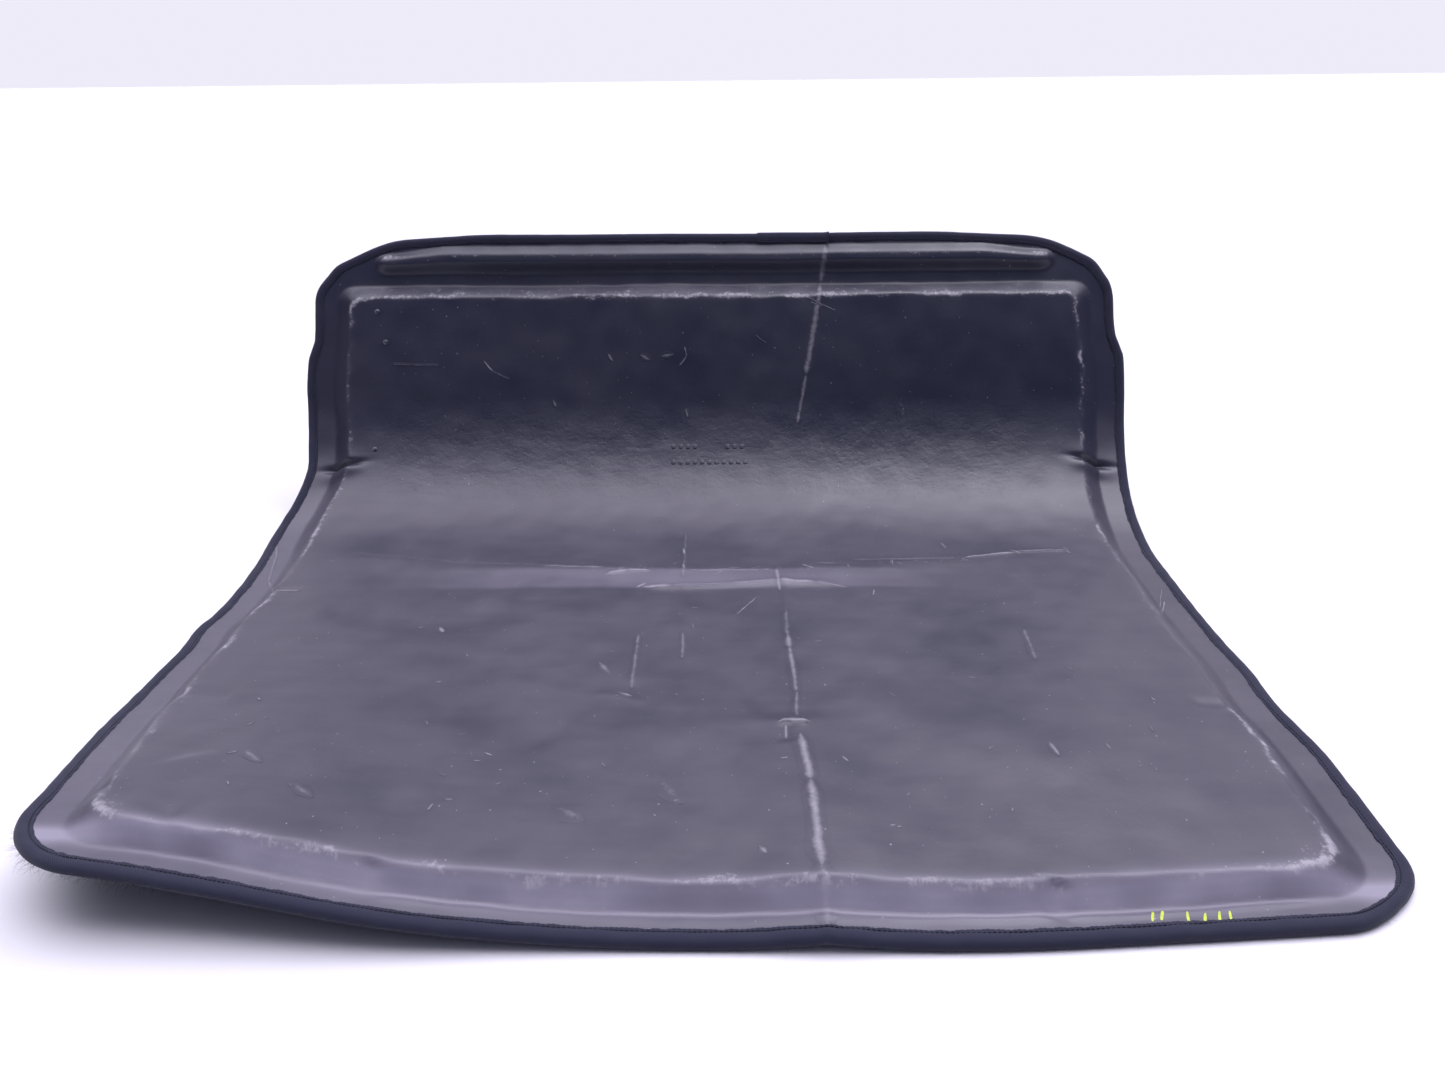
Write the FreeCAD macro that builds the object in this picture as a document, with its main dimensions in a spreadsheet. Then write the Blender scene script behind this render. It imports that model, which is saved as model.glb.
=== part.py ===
import FreeCAD, Part
import os
from math import atan, hypot, tan
from FreeCAD import Placement, Rotation, Vector

# Folding cargo liner: a moulded carpet tray with a heavy rubber backing, lying carpet side down
# with its rear third folded up. Millimetres. +Z up, X across the liner, Y from the front edge
# to the rear, origin under the middle of the whole liner on the surface it lies on.

doc = FreeCAD.newDocument("CargoLiner")

# ---------------------------------------------------------------- driving dimensions
sheet = doc.addObject("Spreadsheet::Sheet", "Dimensions")
dimensions = {
    # outline
    "half_width": 550.0,          # half the overall width
    "floor_length": 617.0,        # front edge to the start of the bend
    "panel_length": 229.0,        # end of the bend to the rear edge
    "front_bow": 24.0,            # how far the front corners sit behind the middle
    "front_flat_half": 230.0,     # half the straight stretch of the front edge
    "front_corner_round": 62.0,
    "rear_half_width": 543.5,     # the rear end is a little narrower
    "jog_start": 57.0,            # where the sides step in, from the end of the bend
    "jog_finish": 82.0,
    # bend
    "bend_radius": 255.0,         # to the carpet face
    "bend_angle": 64.0,           # rear panel from flat
    "quarter_angle": 16.0,        # a quarter of the bend stays with each flat part
    "middle_angle": 32.0,         # the half of the bend between the two fold lines
    # layers
    "carpet_thickness": 5.5,
    "backing_thickness": 2.5,
    "tape_thickness": 1.2,
    "tape_reach": 13.0,           # how far the tape covers from the edge
    "thread_height": 0.4,
    "thread_width": 0.8,
    "thread_lift": 0.03,          # keeps a straight stitch clear of the curved tape
    "stitch_length": 5.5,
    "stitch_pitch": 8.0,
    "stitch_inset": 10.0,         # seam line from the edge
    # raised tray bottom, seen from the backing side
    "tray_height": 18.0,
    "wall_foot_half": 513.0,
    "wall_top_half": 486.0,
    "front_foot": 28.0,           # from the front edge, in the middle
    "front_top": 40.0,
    "rear_foot": 71.0,            # from the rear edge
    "rear_top": 92.0,
    "foot_round": 45.0,
    "top_round": 38.0,
    # rib along the rear edge
    "rib_height": 10.0,
    "rib_near": 16.0,             # foot nearest the rear edge, measured from that edge
    "rib_far": 56.0,
    "rib_crest_near": 32.0,
    "rib_crest_far": 40.0,
    "rib_half_length": 462.0,
    "rib_straight_half": 330.0,   # from here outwards the ends slant away from the rear edge
    "rib_end_slant": 18.0,
    # moulded locating pips
    "pip_radius": 4.0,
    "pip_height": 1.5,
    # overlapping end of the edge tape
    "tail_left": 62.0,
    "tail_right": 162.0,
    "tail_fold": 9.0,
}
for row, (alias, value) in enumerate(dimensions.items(), start=1):
    sheet.set("A%d" % row, alias)
    sheet.set("B%d" % row, str(value))
    sheet.setAlias("B%d" % row, alias)
doc.recompute()


def size(alias):
    return float(getattr(sheet, alias))


def cell(alias):
    return "Dimensions." + alias


# Every sub-part is drawn about the axis of the bend, so a sheet's carpet face lies one bend
# radius below its own origin, and one point places all of them.
DEPTH = ("(Dimensions.floor_length + Dimensions.bend_radius * sin(Dimensions.bend_angle * 1 deg)"
         " + Dimensions.panel_length * cos(Dimensions.bend_angle * 1 deg))")
LEVEL = "-Dimensions.bend_radius"                                   # carpet face
RUBBER = LEVEL + " + Dimensions.carpet_thickness"                   # between carpet and rubber
TOP = RUBBER + " + Dimensions.backing_thickness"                    # rubber face
TAPE_TOP = TOP + " + Dimensions.tape_thickness"


# ---------------------------------------------------------------- outlines
def offset_corners(corners, inset, side):
    """Move every edge of an open outline inwards; the ends stay on the line they start on."""
    lines = []
    for (ax, ay, _), (bx, by, _) in zip(corners, corners[1:]):
        length = hypot(bx - ax, by - ay)
        ux, uy = (bx - ax) / length, (by - ay) / length
        lines.append((ax - uy * inset * side, ay + ux * inset * side, ux, uy))
    moved = [(lines[0][0], corners[0][1], 0.0)]
    for index in range(1, len(lines)):
        px, py, ux, uy = lines[index - 1]
        qx, qy, vx, vy = lines[index]
        turn = ux * vy - uy * vx
        reach = ((qx - px) * vy - (qy - py) * vx) / turn
        radius = corners[index][2] - inset if turn * side > 0 else corners[index][2] + inset
        moved.append((px + ux * reach, py + uy * reach, max(radius, 2.0)))
    px, py, ux, uy = lines[-1]
    moved.append((px + ux * (corners[-1][1] - py) / uy, corners[-1][1], 0.0))
    return moved


def rounded_path(corners):
    """Lines and tangent arcs through the corners of an open outline."""
    pieces = []
    start = Vector(corners[0][0], corners[0][1], 0)
    for index in range(1, len(corners) - 1):
        x, y, radius = corners[index]
        corner = Vector(x, y, 0)
        before = Vector(corners[index - 1][0] - x, corners[index - 1][1] - y, 0).normalize()
        after = Vector(corners[index + 1][0] - x, corners[index + 1][1] - y, 0).normalize()
        half = before.getAngle(after) / 2
        reach = radius / tan(half)
        first = corner + before * reach
        last = corner + after * reach
        bisector = (before + after).normalize()
        middle = corner + bisector * (hypot(reach, radius) - radius)
        pieces.append(Part.LineSegment(start, first))
        pieces.append(Part.Arc(first, middle, last))
        start = last
    pieces.append(Part.LineSegment(start, Vector(corners[-1][0], corners[-1][1], 0)))
    return pieces


def closed_region(corners):
    """An open outline closed along the line its two ends share."""
    ends = [Vector(corners[-1][0], corners[-1][1], 0), Vector(corners[0][0], corners[0][1], 0)]
    return rounded_path(corners) + [Part.LineSegment(*ends)]


def ring_region(corners, inset, side):
    """The band between an outline and the same outline moved inwards."""
    inner = offset_corners(corners, inset, side)
    ends = []
    for index in (0, -1):
        ends.append(Part.LineSegment(Vector(corners[index][0], corners[index][1], 0),
                                     Vector(inner[index][0], inner[index][1], 0)))
    return rounded_path(corners) + rounded_path(inner) + ends


def mirrored(right_half):
    """Complete an outline given from the right-hand end to the middle."""
    return right_half + [(-x, y, radius) for x, y, radius in reversed(right_half)]


def floor_edge():
    front = -size("floor_length")
    side = size("half_width")
    return mirrored([(side, 0, 0),
                     (side, front + size("front_bow"), size("front_corner_round")),
                     (size("front_flat_half"), front, 1500)])


def rear_edge():
    rear = size("panel_length")
    side = size("rear_half_width")
    return mirrored([(size("half_width"), 0, 0),
                     (size("half_width"), size("jog_start"), 30),
                     (side, size("jog_finish"), 30),
                     (side, rear - 78, 45),
                     (side - 31, rear - 42, 60),
                     (side - 103, rear - 7, 130),
                     (side - 230, rear, 900)])


def tray_edge(part, level):
    """Foot or top outline of the raised tray bottom in the floor or the rear panel."""
    half = size("wall_foot_half") if level == "foot" else size("wall_top_half")
    rounding = size(level + "_round")
    if part == "floor":
        front = -size("floor_length") + size("front_" + level)
        return mirrored([(half, 0, 0),
                         (half, front + size("front_bow") - 4, rounding),
                         (size("front_flat_half"), front, 1400)])
    rear = size("panel_length") - size("rear_" + level)
    return mirrored([(half, 0, 0), (half, rear, rounding)])


# ---------------------------------------------------------------- document objects
def new_body(name, turn=None):
    body = doc.addObject("PartDesign::Body", name)
    body.Label = name
    body.setExpression("Placement.Base.y", "Dimensions.floor_length - %s / 2" % DEPTH)
    body.setExpression("Placement.Base.z", cell("bend_radius"))
    if turn:
        body.Placement = Placement(Vector(0, 0, 0), Rotation(Vector(1, 0, 0), size(turn)))
        body.setExpression("Placement.Rotation.Angle", cell(turn) + " * 1 deg")
    return body


def new_sketch(body, name, role, geometry, height=None):
    """A sketch on one of the body's own origin planes, raised to a height from the sheet."""
    sketch = body.newObject("Sketcher::SketchObject", body.Name + "_" + name)
    plane = next(item for item in body.Origin.OriginFeatures if item.Role == role)
    sketch.AttachmentSupport = (plane, [""])
    sketch.MapMode = "FlatFace"
    if height:
        sketch.setExpression("AttachmentOffset.Base.z", height)
    for piece in geometry:
        sketch.addGeometry(piece, False)
    return sketch


def pad(body, name, geometry, height, thickness):
    sketch = new_sketch(body, name + "_outline", "XY_Plane", geometry, height)
    feature = body.newObject("PartDesign::Pad", body.Name + "_" + name)
    feature.Profile = sketch
    feature.setExpression("Length", thickness)
    doc.recompute()
    return feature


def pocket_down(body, name, geometry, height, depth):
    before = body.Shape.Volume
    sketch = new_sketch(body, name + "_outline", "XY_Plane", geometry, height)
    feature = body.newObject("PartDesign::Pocket", body.Name + "_" + name)
    feature.Profile = sketch
    feature.setExpression("Length", depth)
    doc.recompute()
    if body.Shape.Volume >= before:
        raise RuntimeError(body.Name + ": pocket " + name + " removed nothing")
    return feature


def loft(body, name, kind, low, high, low_level, high_level):
    before = body.Shape.Volume
    base = new_sketch(body, name + "_foot", "XY_Plane", low, low_level)
    top = new_sketch(body, name + "_top", "XY_Plane", high, high_level)
    feature = body.newObject("PartDesign::" + kind, body.Name + "_" + name)
    feature.Profile = base
    feature.Sections = [top]
    feature.Ruled = True
    doc.recompute()
    grew = body.Shape.Volume > before
    if grew != (kind == "AdditiveLoft"):
        raise RuntimeError(body.Name + ": loft " + name + " did not change the body")
    return feature


def polygon(points):
    """Closed polygon in the XZ plane: x across, the second number above the carpet face."""
    corners = [Vector(x, level - size("bend_radius"), 0) for x, level in points]
    return [Part.LineSegment(a, b) for a, b in zip(corners, corners[1:] + corners[:1])]


def turned(body, name, geometry, angle, backwards=False):
    """Carry a cross-section round the axis of the bend."""
    sketch = new_sketch(body, name + "_section", "XZ_Plane", geometry)
    feature = body.newObject("PartDesign::Revolution", body.Name + "_" + name)
    feature.Profile = sketch
    feature.ReferenceAxis = (sketch, ["H_Axis"])
    feature.setExpression("Angle", angle)
    feature.Reversed = backwards
    doc.recompute()
    box = feature.Shape.BoundBox
    wrong = box.YMin < -2 * size("floor_length") if backwards else box.YMax < 1
    if wrong:
        raise RuntimeError(body.Name + ": section turned the wrong way")
    return feature


# ---------------------------------------------------------------- cross-sections
carpet = size("carpet_thickness")
rubber = size("backing_thickness")
tape = size("tape_thickness")
stack = carpet + rubber
edge = size("half_width") - tape
cover = size("half_width") - size("tape_reach")
foot = size("wall_foot_half")
crown = size("wall_top_half")
rise = size("tray_height")


def both_sides(points):
    """A cross-section given on the right from bottom to top, closed through its mirror image."""
    return points + [(-x, level) for x, level in reversed(points)]


def carpet_section():
    lower = [(crown, rise), (foot, 0), (cover, 0), (cover, tape), (edge, tape)]
    upper = [(edge, carpet), (foot, carpet), (crown, rise + carpet)]
    return polygon(both_sides(lower + upper))


def backing_section():
    lower = [(crown, rise + carpet), (foot, carpet), (edge, carpet)]
    upper = [(edge, stack), (foot, stack), (crown, rise + stack)]
    return polygon(both_sides(lower + upper))


def tape_section(sign):
    outer = size("half_width")
    shape = [(outer, 0), (cover, 0), (cover, tape), (edge, tape), (edge, stack), (cover, stack),
             (cover, stack + tape), (outer, stack + tape)]
    return polygon([(sign * x, level) for x, level in shape])


# ---------------------------------------------------------------- layers of the liner
edges = {"floor": (floor_edge(), -1), "rear": (rear_edge(), 1)}
turns = {"floor": None, "rear": "bend_angle"}


def rib_region(level):
    """Foot or crest outline of the rib; its ends slant away from the rounded rear corners."""
    rear = size("panel_length")
    straight = size("rib_straight_half")
    if level == "foot":
        near, far, half = size("rib_near"), size("rib_far"), size("rib_half_length")
        slant, low_round, high_round = size("rib_end_slant"), 12.0, 8.0
    else:
        near, far = size("rib_crest_near"), size("rib_crest_far")
        half = size("rib_half_length") - 17
        slant, low_round, high_round = size("rib_end_slant") / 4, 1.5, 1.0
    low, high = rear - far, rear - near
    corners = [(0, low, 0), (half, low, low_round), (half, high - slant, high_round),
               (straight, high, 300), (0, high, 0)]
    left = [(-x, y, r) for x, y, r in corners]
    return rounded_path(corners) + rounded_path(left)


def carpet_layer(part):
    outline, side = edges[part]
    body = new_body(part + "_carpet", turns[part])
    inside = closed_region(offset_corners(outline, size("tape_reach"), side))
    under_tape = closed_region(offset_corners(outline, tape, side))
    pad(body, "border", inside, LEVEL, cell("carpet_thickness"))
    pad(body, "rebated_edge", under_tape, LEVEL + " + Dimensions.tape_thickness",
        "Dimensions.carpet_thickness - Dimensions.tape_thickness")
    low = closed_region(tray_edge(part, "foot"))
    high = closed_region(tray_edge(part, "top"))
    loft(body, "tray", "AdditiveLoft", low, high, RUBBER, RUBBER + " + Dimensions.tray_height")
    if part == "rear":
        loft(body, "rib", "AdditiveLoft", rib_region("foot"), rib_region("crest"), RUBBER,
             RUBBER + " + Dimensions.rib_height")
    loft(body, "hollow", "SubtractiveLoft", low, high, LEVEL, LEVEL + " + Dimensions.tray_height")
    if part == "rear":
        loft(body, "groove", "SubtractiveLoft", rib_region("foot"), rib_region("crest"), LEVEL,
             LEVEL + " + Dimensions.rib_height")
    turned(body, "quarter", carpet_section(), cell("quarter_angle"), part == "rear")
    return body


def backing_layer(part):
    outline, side = edges[part]
    body = new_body(part + "_backing", turns[part])
    region = closed_region(offset_corners(outline, tape, side))
    pad(body, "border", region, RUBBER, cell("backing_thickness"))
    low = closed_region(tray_edge(part, "foot"))
    high = closed_region(tray_edge(part, "top"))
    loft(body, "tray", "AdditiveLoft", low, high, TOP, TOP + " + Dimensions.tray_height")
    if part == "rear":
        loft(body, "rib", "AdditiveLoft", rib_region("foot"), rib_region("crest"), TOP,
             TOP + " + Dimensions.rib_height")
    loft(body, "hollow", "SubtractiveLoft", low, high, RUBBER,
         RUBBER + " + Dimensions.tray_height")
    if part == "rear":
        loft(body, "groove", "SubtractiveLoft", rib_region("foot"), rib_region("crest"), RUBBER,
             RUBBER + " + Dimensions.rib_height")
    turned(body, "quarter", backing_section(), cell("quarter_angle"), part == "rear")
    return body


def binding(part):
    """Woven tape folded over the edge: a channel with two legs and a narrow side."""
    outline, side = edges[part]
    body = new_body(part + "_binding", turns[part])
    pad(body, "wrap", ring_region(outline, size("tape_reach"), side), LEVEL,
        "Dimensions.carpet_thickness + Dimensions.backing_thickness + Dimensions.tape_thickness")
    inside = closed_region(offset_corners(outline, tape, side))
    pocket_down(body, "channel", inside, TOP,
                "Dimensions.carpet_thickness + Dimensions.backing_thickness"
                " - Dimensions.tape_thickness")
    turned(body, "quarter_right", tape_section(1), cell("quarter_angle"), part == "rear")
    turned(body, "quarter_left", tape_section(-1), cell("quarter_angle"), part == "rear")
    return body


for part in ("floor", "rear"):
    backing_layer(part)
    carpet_layer(part)
    binding(part)

# the middle half of the bend, between the two fold lines
for name, section in (("bend_backing", backing_section()), ("bend_carpet", carpet_section()),
                      ("bend_binding_left", tape_section(-1)),
                      ("bend_binding_right", tape_section(1))):
    turned(new_body(name, "quarter_angle"), "middle", section, cell("middle_angle"))

# ---------------------------------------------------------------- moulded pips on the rear panel
rear_backing = doc.getObject("rear_backing")
for index, (across, along) in enumerate(((-452, 118), (-440, 76))):
    circle = [Part.Circle(Vector(across, along, 0), Vector(0, 0, 1), size("pip_radius"))]
    pad(rear_backing, "pip_%d" % index, circle, TOP + " + Dimensions.tray_height",
        cell("pip_height"))

# ---------------------------------------------------------------- overlapping end of the tape
tail = new_body("binding_tail", "bend_angle")
low = size("panel_length") - size("tape_reach")
high = size("panel_length")


def strip(left, right):
    corners = [Vector(left, low, 0), Vector(right, low, 0), Vector(right, high, 0),
               Vector(left, high, 0)]
    return [Part.LineSegment(a, b) for a, b in zip(corners, corners[1:] + corners[:1])]


pad(tail, "strip", strip(size("tail_left"), size("tail_right")), TAPE_TOP, cell("tape_thickness"))
pad(tail, "folded_end", strip(size("tail_right") - size("tail_fold"), size("tail_right")),
    TAPE_TOP + " + Dimensions.tape_thickness", cell("tape_thickness"))


# ---------------------------------------------------------------- sewing thread
def stitch_shape(start, direction, level):
    """One stitch: a short bar of thread lying on the tape."""
    across = Vector(-direction.y, direction.x, 0) * (size("thread_width") / 2)
    base = Vector(start.x, start.y, level - size("bend_radius"))
    along = direction * size("stitch_length")
    corners = [base - across, base + along - across, base + along + across, base + across]
    face = Part.Face(Part.makePolygon(corners + corners[:1]))
    return face.extrude(Vector(0, 0, size("thread_height")))


def seam_along(outline, side, skip=None, level=None):
    """Stitches evenly spaced on the straight and curved runs of the seam line."""
    level = stack + tape if level is None else level
    path = Part.Wire([piece.toShape() for piece in
                      rounded_path(offset_corners(outline, size("stitch_inset"), side))])
    count = int(path.Length // size("stitch_pitch"))
    points = path.discretize(Number=count + 1)
    shapes = []
    for start, finish in zip(points, points[1:]):
        direction = Vector(finish.x - start.x, finish.y - start.y, 0).normalize()
        covered = size("tail_left") - 8 < start.x < size("tail_right") + 8 and start.y > 100
        if covered and skip:
            continue
        if not covered and skip is False:
            continue
        shapes.append(stitch_shape(start + direction * 1.2, direction, level))
    return shapes


def seam_round_bend(sign, first_angle, last_angle):
    """Stitches on the curved part of one side, each turned about the axis of the bend."""
    step = size("stitch_pitch") / (size("bend_radius") - stack) * 57.2958
    shapes = []
    angle = first_angle + step / 2
    while angle < last_angle - step / 2:
        start = Vector(sign * (size("half_width") - size("stitch_inset")),
                       -size("stitch_length") / 2, 0)
        shape = stitch_shape(start, Vector(0, 1, 0), stack + tape + size("thread_lift"))
        shape.rotate(Vector(0, 0, 0), Vector(1, 0, 0), angle)
        shapes.append(shape)
        angle += step
    return shapes


def thread(name, shapes, turn_angle):
    seam = doc.addObject("Part::Feature", name)
    seam.Label = name
    seam.Shape = Part.makeCompound(shapes)
    centre = Vector(0, size("floor_length") - depth / 2, size("bend_radius"))
    seam.Placement = Placement(centre, Rotation(Vector(1, 0, 0), turn_angle))
    return seam


panel = Rotation(Vector(1, 0, 0), size("bend_angle")).multVec(Vector(0, size("panel_length"), 0))
corner = Rotation(Vector(1, 0, 0), size("bend_angle")).multVec(Vector(0, 0, -size("bend_radius")))
depth = size("floor_length") + panel.y + corner.y
quarter = size("quarter_angle")
floor_seam = seam_along(floor_edge(), -1)
for sign in (-1, 1):
    floor_seam += seam_round_bend(sign, 0, quarter)
thread("floor_stitches", floor_seam, 0)
bend_seam = []
for sign in (-1, 1):
    bend_seam += seam_round_bend(sign, 0, size("middle_angle"))
thread("bend_stitches", bend_seam, quarter)
rear_seam = seam_along(rear_edge(), 1, skip=True)
for sign in (-1, 1):
    rear_seam += seam_round_bend(sign, -quarter, 0)
thread("rear_stitches", rear_seam, size("bend_angle"))

# ---------------------------------------------------------------- check and write
doc.recompute()
os.makedirs("parts", exist_ok=True)
for item in doc.Objects:
    if "Invalid" in item.State or "Error" in item.State:
        raise RuntimeError(item.Name + ": " + ", ".join(item.State))
written = [item for item in doc.Objects if item.TypeId in ("PartDesign::Body", "Part::Feature")]
for item in written:
    if item.Shape.isNull() or not item.Shape.isValid():
        raise RuntimeError(item.Label + " has no valid shape")
    item.Shape.exportStep("parts/" + item.Label + ".step")
    box = item.Shape.BoundBox
    print("%-22s solids %3d  volume %9.0f  y %7.1f %7.1f  z %6.1f %6.1f" % (
        item.Label, len(item.Shape.Solids), item.Shape.Volume, box.YMin, box.YMax,
        box.ZMin, box.ZMax))
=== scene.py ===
import math

import bpy
import numpy as np
from mathutils import Euler, Matrix, Vector


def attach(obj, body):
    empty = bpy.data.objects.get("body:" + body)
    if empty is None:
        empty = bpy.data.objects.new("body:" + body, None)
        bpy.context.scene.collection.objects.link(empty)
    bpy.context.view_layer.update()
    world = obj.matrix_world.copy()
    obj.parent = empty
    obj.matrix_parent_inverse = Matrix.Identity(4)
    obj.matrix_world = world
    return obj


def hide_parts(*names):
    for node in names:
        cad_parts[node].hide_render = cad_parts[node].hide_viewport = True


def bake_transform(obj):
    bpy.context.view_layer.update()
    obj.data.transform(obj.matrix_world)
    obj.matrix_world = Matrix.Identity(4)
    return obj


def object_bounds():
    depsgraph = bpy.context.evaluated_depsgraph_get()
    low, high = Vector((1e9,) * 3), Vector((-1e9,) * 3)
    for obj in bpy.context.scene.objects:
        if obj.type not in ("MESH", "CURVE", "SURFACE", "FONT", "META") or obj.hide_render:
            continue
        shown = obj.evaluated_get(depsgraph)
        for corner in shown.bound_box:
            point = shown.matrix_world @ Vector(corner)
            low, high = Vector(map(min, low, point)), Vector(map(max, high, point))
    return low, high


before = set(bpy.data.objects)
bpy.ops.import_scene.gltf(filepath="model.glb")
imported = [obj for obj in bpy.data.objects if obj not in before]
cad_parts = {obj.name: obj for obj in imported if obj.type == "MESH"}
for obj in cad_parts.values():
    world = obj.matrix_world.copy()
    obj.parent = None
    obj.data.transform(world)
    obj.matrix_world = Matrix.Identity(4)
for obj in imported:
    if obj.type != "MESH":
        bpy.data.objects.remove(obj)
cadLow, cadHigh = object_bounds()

# A folding cargo liner seen from its rubber side: carpet tray turned over, rear part folded up.
# Everything is laid out on the flat sheet first: "across" from the middle, "along" from the
# front edge, "above" the carpet face, in metres. shapedPoint() then carries it to the fold.

liner = {
    "halfWidth": cadHigh.x,
    "floorLength": 0.617,       # front edge to the start of the bend
    "bendRadius": 0.255,        # to the carpet face
    "bendAngle": math.radians(64),
    "panelLength": 0.229,
    "carpetThickness": 0.0055,
    "rubberThickness": 0.0025,
    "frontBow": 0.024,          # the front corners sit this far behind the middle
}
linerLength = liner["floorLength"] + liner["bendRadius"] * liner["bendAngle"] + liner["panelLength"]
middleOfBend = liner["floorLength"] + liner["bendRadius"] * liner["bendAngle"] / 2
sheetThickness = liner["carpetThickness"] + liner["rubberThickness"]


def smoothStep(low, high, value):
    t = np.clip((value - low) / (high - low), 0.0, 1.0)
    return t * t * (3 - 2 * t)


def ripple(across, along, wavelength, seed):    # soft random waves, about -1 to 1
    generator = np.random.default_rng(seed)
    total = np.zeros(np.broadcast(across, along).shape)
    for _ in range(7):
        heading = generator.uniform(0, 2 * math.pi)
        pitch = 2 * math.pi / (wavelength * generator.uniform(0.7, 1.5))
        phase = generator.uniform(0, 2 * math.pi)
        total += np.sin((across * math.cos(heading) + along * math.sin(heading)) * pitch + phase)
    return total / 3.2


def runLengths(path):                           # distance from the first point to each point of a path
    return np.concatenate(([0.0], np.cumsum(np.linalg.norm(np.diff(path, axis=0), axis=1))))


def roundedLoop(corners, step=0.004):           # closed outline with its corners rounded
    points = []
    count = len(corners)
    for index in range(count):
        before, corner, after = (np.array(corners[(index + k) % count][:2]) for k in (-1, 0, 1))
        radius = corners[index][2]
        towards, away = before - corner, after - corner
        towards /= np.linalg.norm(towards)
        away /= np.linalg.norm(away)
        half = math.acos(np.clip(towards @ away, -1, 1)) / 2
        reach = radius / math.tan(half)
        first, last = corner + towards * reach, corner + away * reach
        bisector = (towards + away) / np.linalg.norm(towards + away)
        centre = corner + bisector * radius / math.sin(half)
        arcs = max(3, int(radius * (math.pi - 2 * half) / step))
        sweep = np.linspace(0, 1, arcs + 1)[:, None]
        start, finish = first - centre, last - centre
        opening = math.acos(np.clip(start @ finish / radius ** 2, -1, 1))
        if opening < 1e-4:
            points.append(corner[None, :])
            continue
        arc = (np.sin((1 - sweep) * opening) * start + np.sin(sweep * opening) * finish)
        points.append(centre + arc / math.sin(opening))
    return np.concatenate(points)


def insideDistance(across, along, loop):        # distance to a closed loop, positive inside it
    nearest = np.full(across.shape, 1e9)
    crossings = np.zeros(across.shape, dtype=int)
    for (ax, ay), (bx, by) in zip(loop, np.roll(loop, -1, axis=0)):
        dx, dy = bx - ax, by - ay
        length = dx * dx + dy * dy
        if length < 1e-14:
            continue
        t = np.clip(((across - ax) * dx + (along - ay) * dy) / length, 0, 1)
        nearest = np.minimum(nearest, (across - ax - t * dx) ** 2 + (along - ay - t * dy) ** 2)
        if ay != by:
            passes = (ay > along) != (by > along)
            crossings += passes & (across < ax + (along - ay) / (by - ay) * dx)
    return np.sqrt(nearest) * np.where(crossings % 2, 1.0, -1.0)


def pathDistance(across, along, path):          # distance to an open path, and how far along it
    nearest = np.full(across.shape, 1e9)
    share = np.zeros(across.shape)
    for index, ((ax, ay), (bx, by)) in enumerate(zip(path, path[1:])):
        dx, dy = bx - ax, by - ay
        t = np.clip(((across - ax) * dx + (along - ay) * dy) / (dx * dx + dy * dy), 0, 1)
        gap = (across - ax - t * dx) ** 2 + (along - ay - t * dy) ** 2
        share = np.where(gap < nearest, (index + t) / (len(path) - 1), share)
        nearest = np.minimum(nearest, gap)
    return np.sqrt(nearest), share


def mirroredLoop(rightSide):                    # front middle to rear middle, then back on the left
    return rightSide + [(-x, y, radius) for x, y, radius in reversed(rightSide)]


edgeShape = {
    "frontCorner": 0.078,
    "rearHalfWidth": 0.5435,
    "jog": (0.959, 0.984),      # along, where the sides step in
}
trayShape = {
    "height": 0.018,
    "footHalf": 0.513, "topHalf": 0.486,
    "frontFoot": 0.0265, "frontTop": 0.0435,
    "rearFoot": 0.071, "rearTop": 0.092,
    "footRounds": (0.045, 0.024), "topRounds": (0.038, 0.015),
}
ribShape = {"height": 0.010, "fromEdge": 0.036, "halfLength": 0.444, "halfWidth": 0.020, "crest": 0.004,
            "straightHalf": 0.36, "endSlant": 0.005}


def outerCorners():
    side, rear = edgeShape["rearHalfWidth"], linerLength
    return mirroredLoop([
        (0.23, 0.0, 1.5),
        (liner["halfWidth"], liner["frontBow"], edgeShape["frontCorner"]),
        (liner["halfWidth"], edgeShape["jog"][0], 0.03),
        (side, edgeShape["jog"][1], 0.03),
        (side, rear - 0.078, 0.045),
        (side - 0.031, rear - 0.042, 0.06),
        (side - 0.103, rear - 0.007, 0.13),
        (side - 0.23, rear, 0.9),
    ])


def trayLoop(level):
    half = trayShape[level + "Half"]
    front, rear = trayShape["front" + level.title()], linerLength - trayShape["rear" + level.title()]
    frontRound, rearRound = trayShape[level + "Rounds"]
    return roundedLoop(mirroredLoop([(0.23, front, 1.4),
                                     (half, front + liner["frontBow"] - 0.004, frontRound),
                                     (half, rear, rearRound)]))


outerLoop = roundedLoop(outerCorners())
footLoop, topLoop = trayLoop("foot"), trayLoop("top")


def trayRise(across, along):                    # 0 on the border, 1 on the raised tray bottom
    wobble = 0.0022 * ripple(across, along, 0.16, 3) + 0.0010 * ripple(across, along, 0.04, 4)
    fromFoot = np.maximum(insideDistance(across, along, footLoop) + wobble * 0.5, 0.0)
    toTop = np.maximum(-insideDistance(across, along, topLoop) + wobble, 0.0)
    t = fromFoot / np.maximum(fromFoot + toTop, 1e-9)
    return 0.6 * t + 0.4 * t * t * (3 - 2 * t)


def ribRise(across, along):
    beyond = np.maximum(np.abs(across) - ribShape["halfLength"], 0.0)
    straight, end = ribShape["straightHalf"], ribShape["halfLength"]
    slant = ribShape["endSlant"] * smoothStep(straight, end, np.abs(across))
    apart = np.hypot(beyond, along - (linerLength - ribShape["fromEdge"] - slant))
    foot, crest = ribShape["halfWidth"] - slant, ribShape["crest"] - 0.2 * slant
    t = np.clip((foot - apart) / (foot - crest), 0, 1)
    return 0.5 * t + 0.5 * t * t * (3 - 2 * t)


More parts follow.
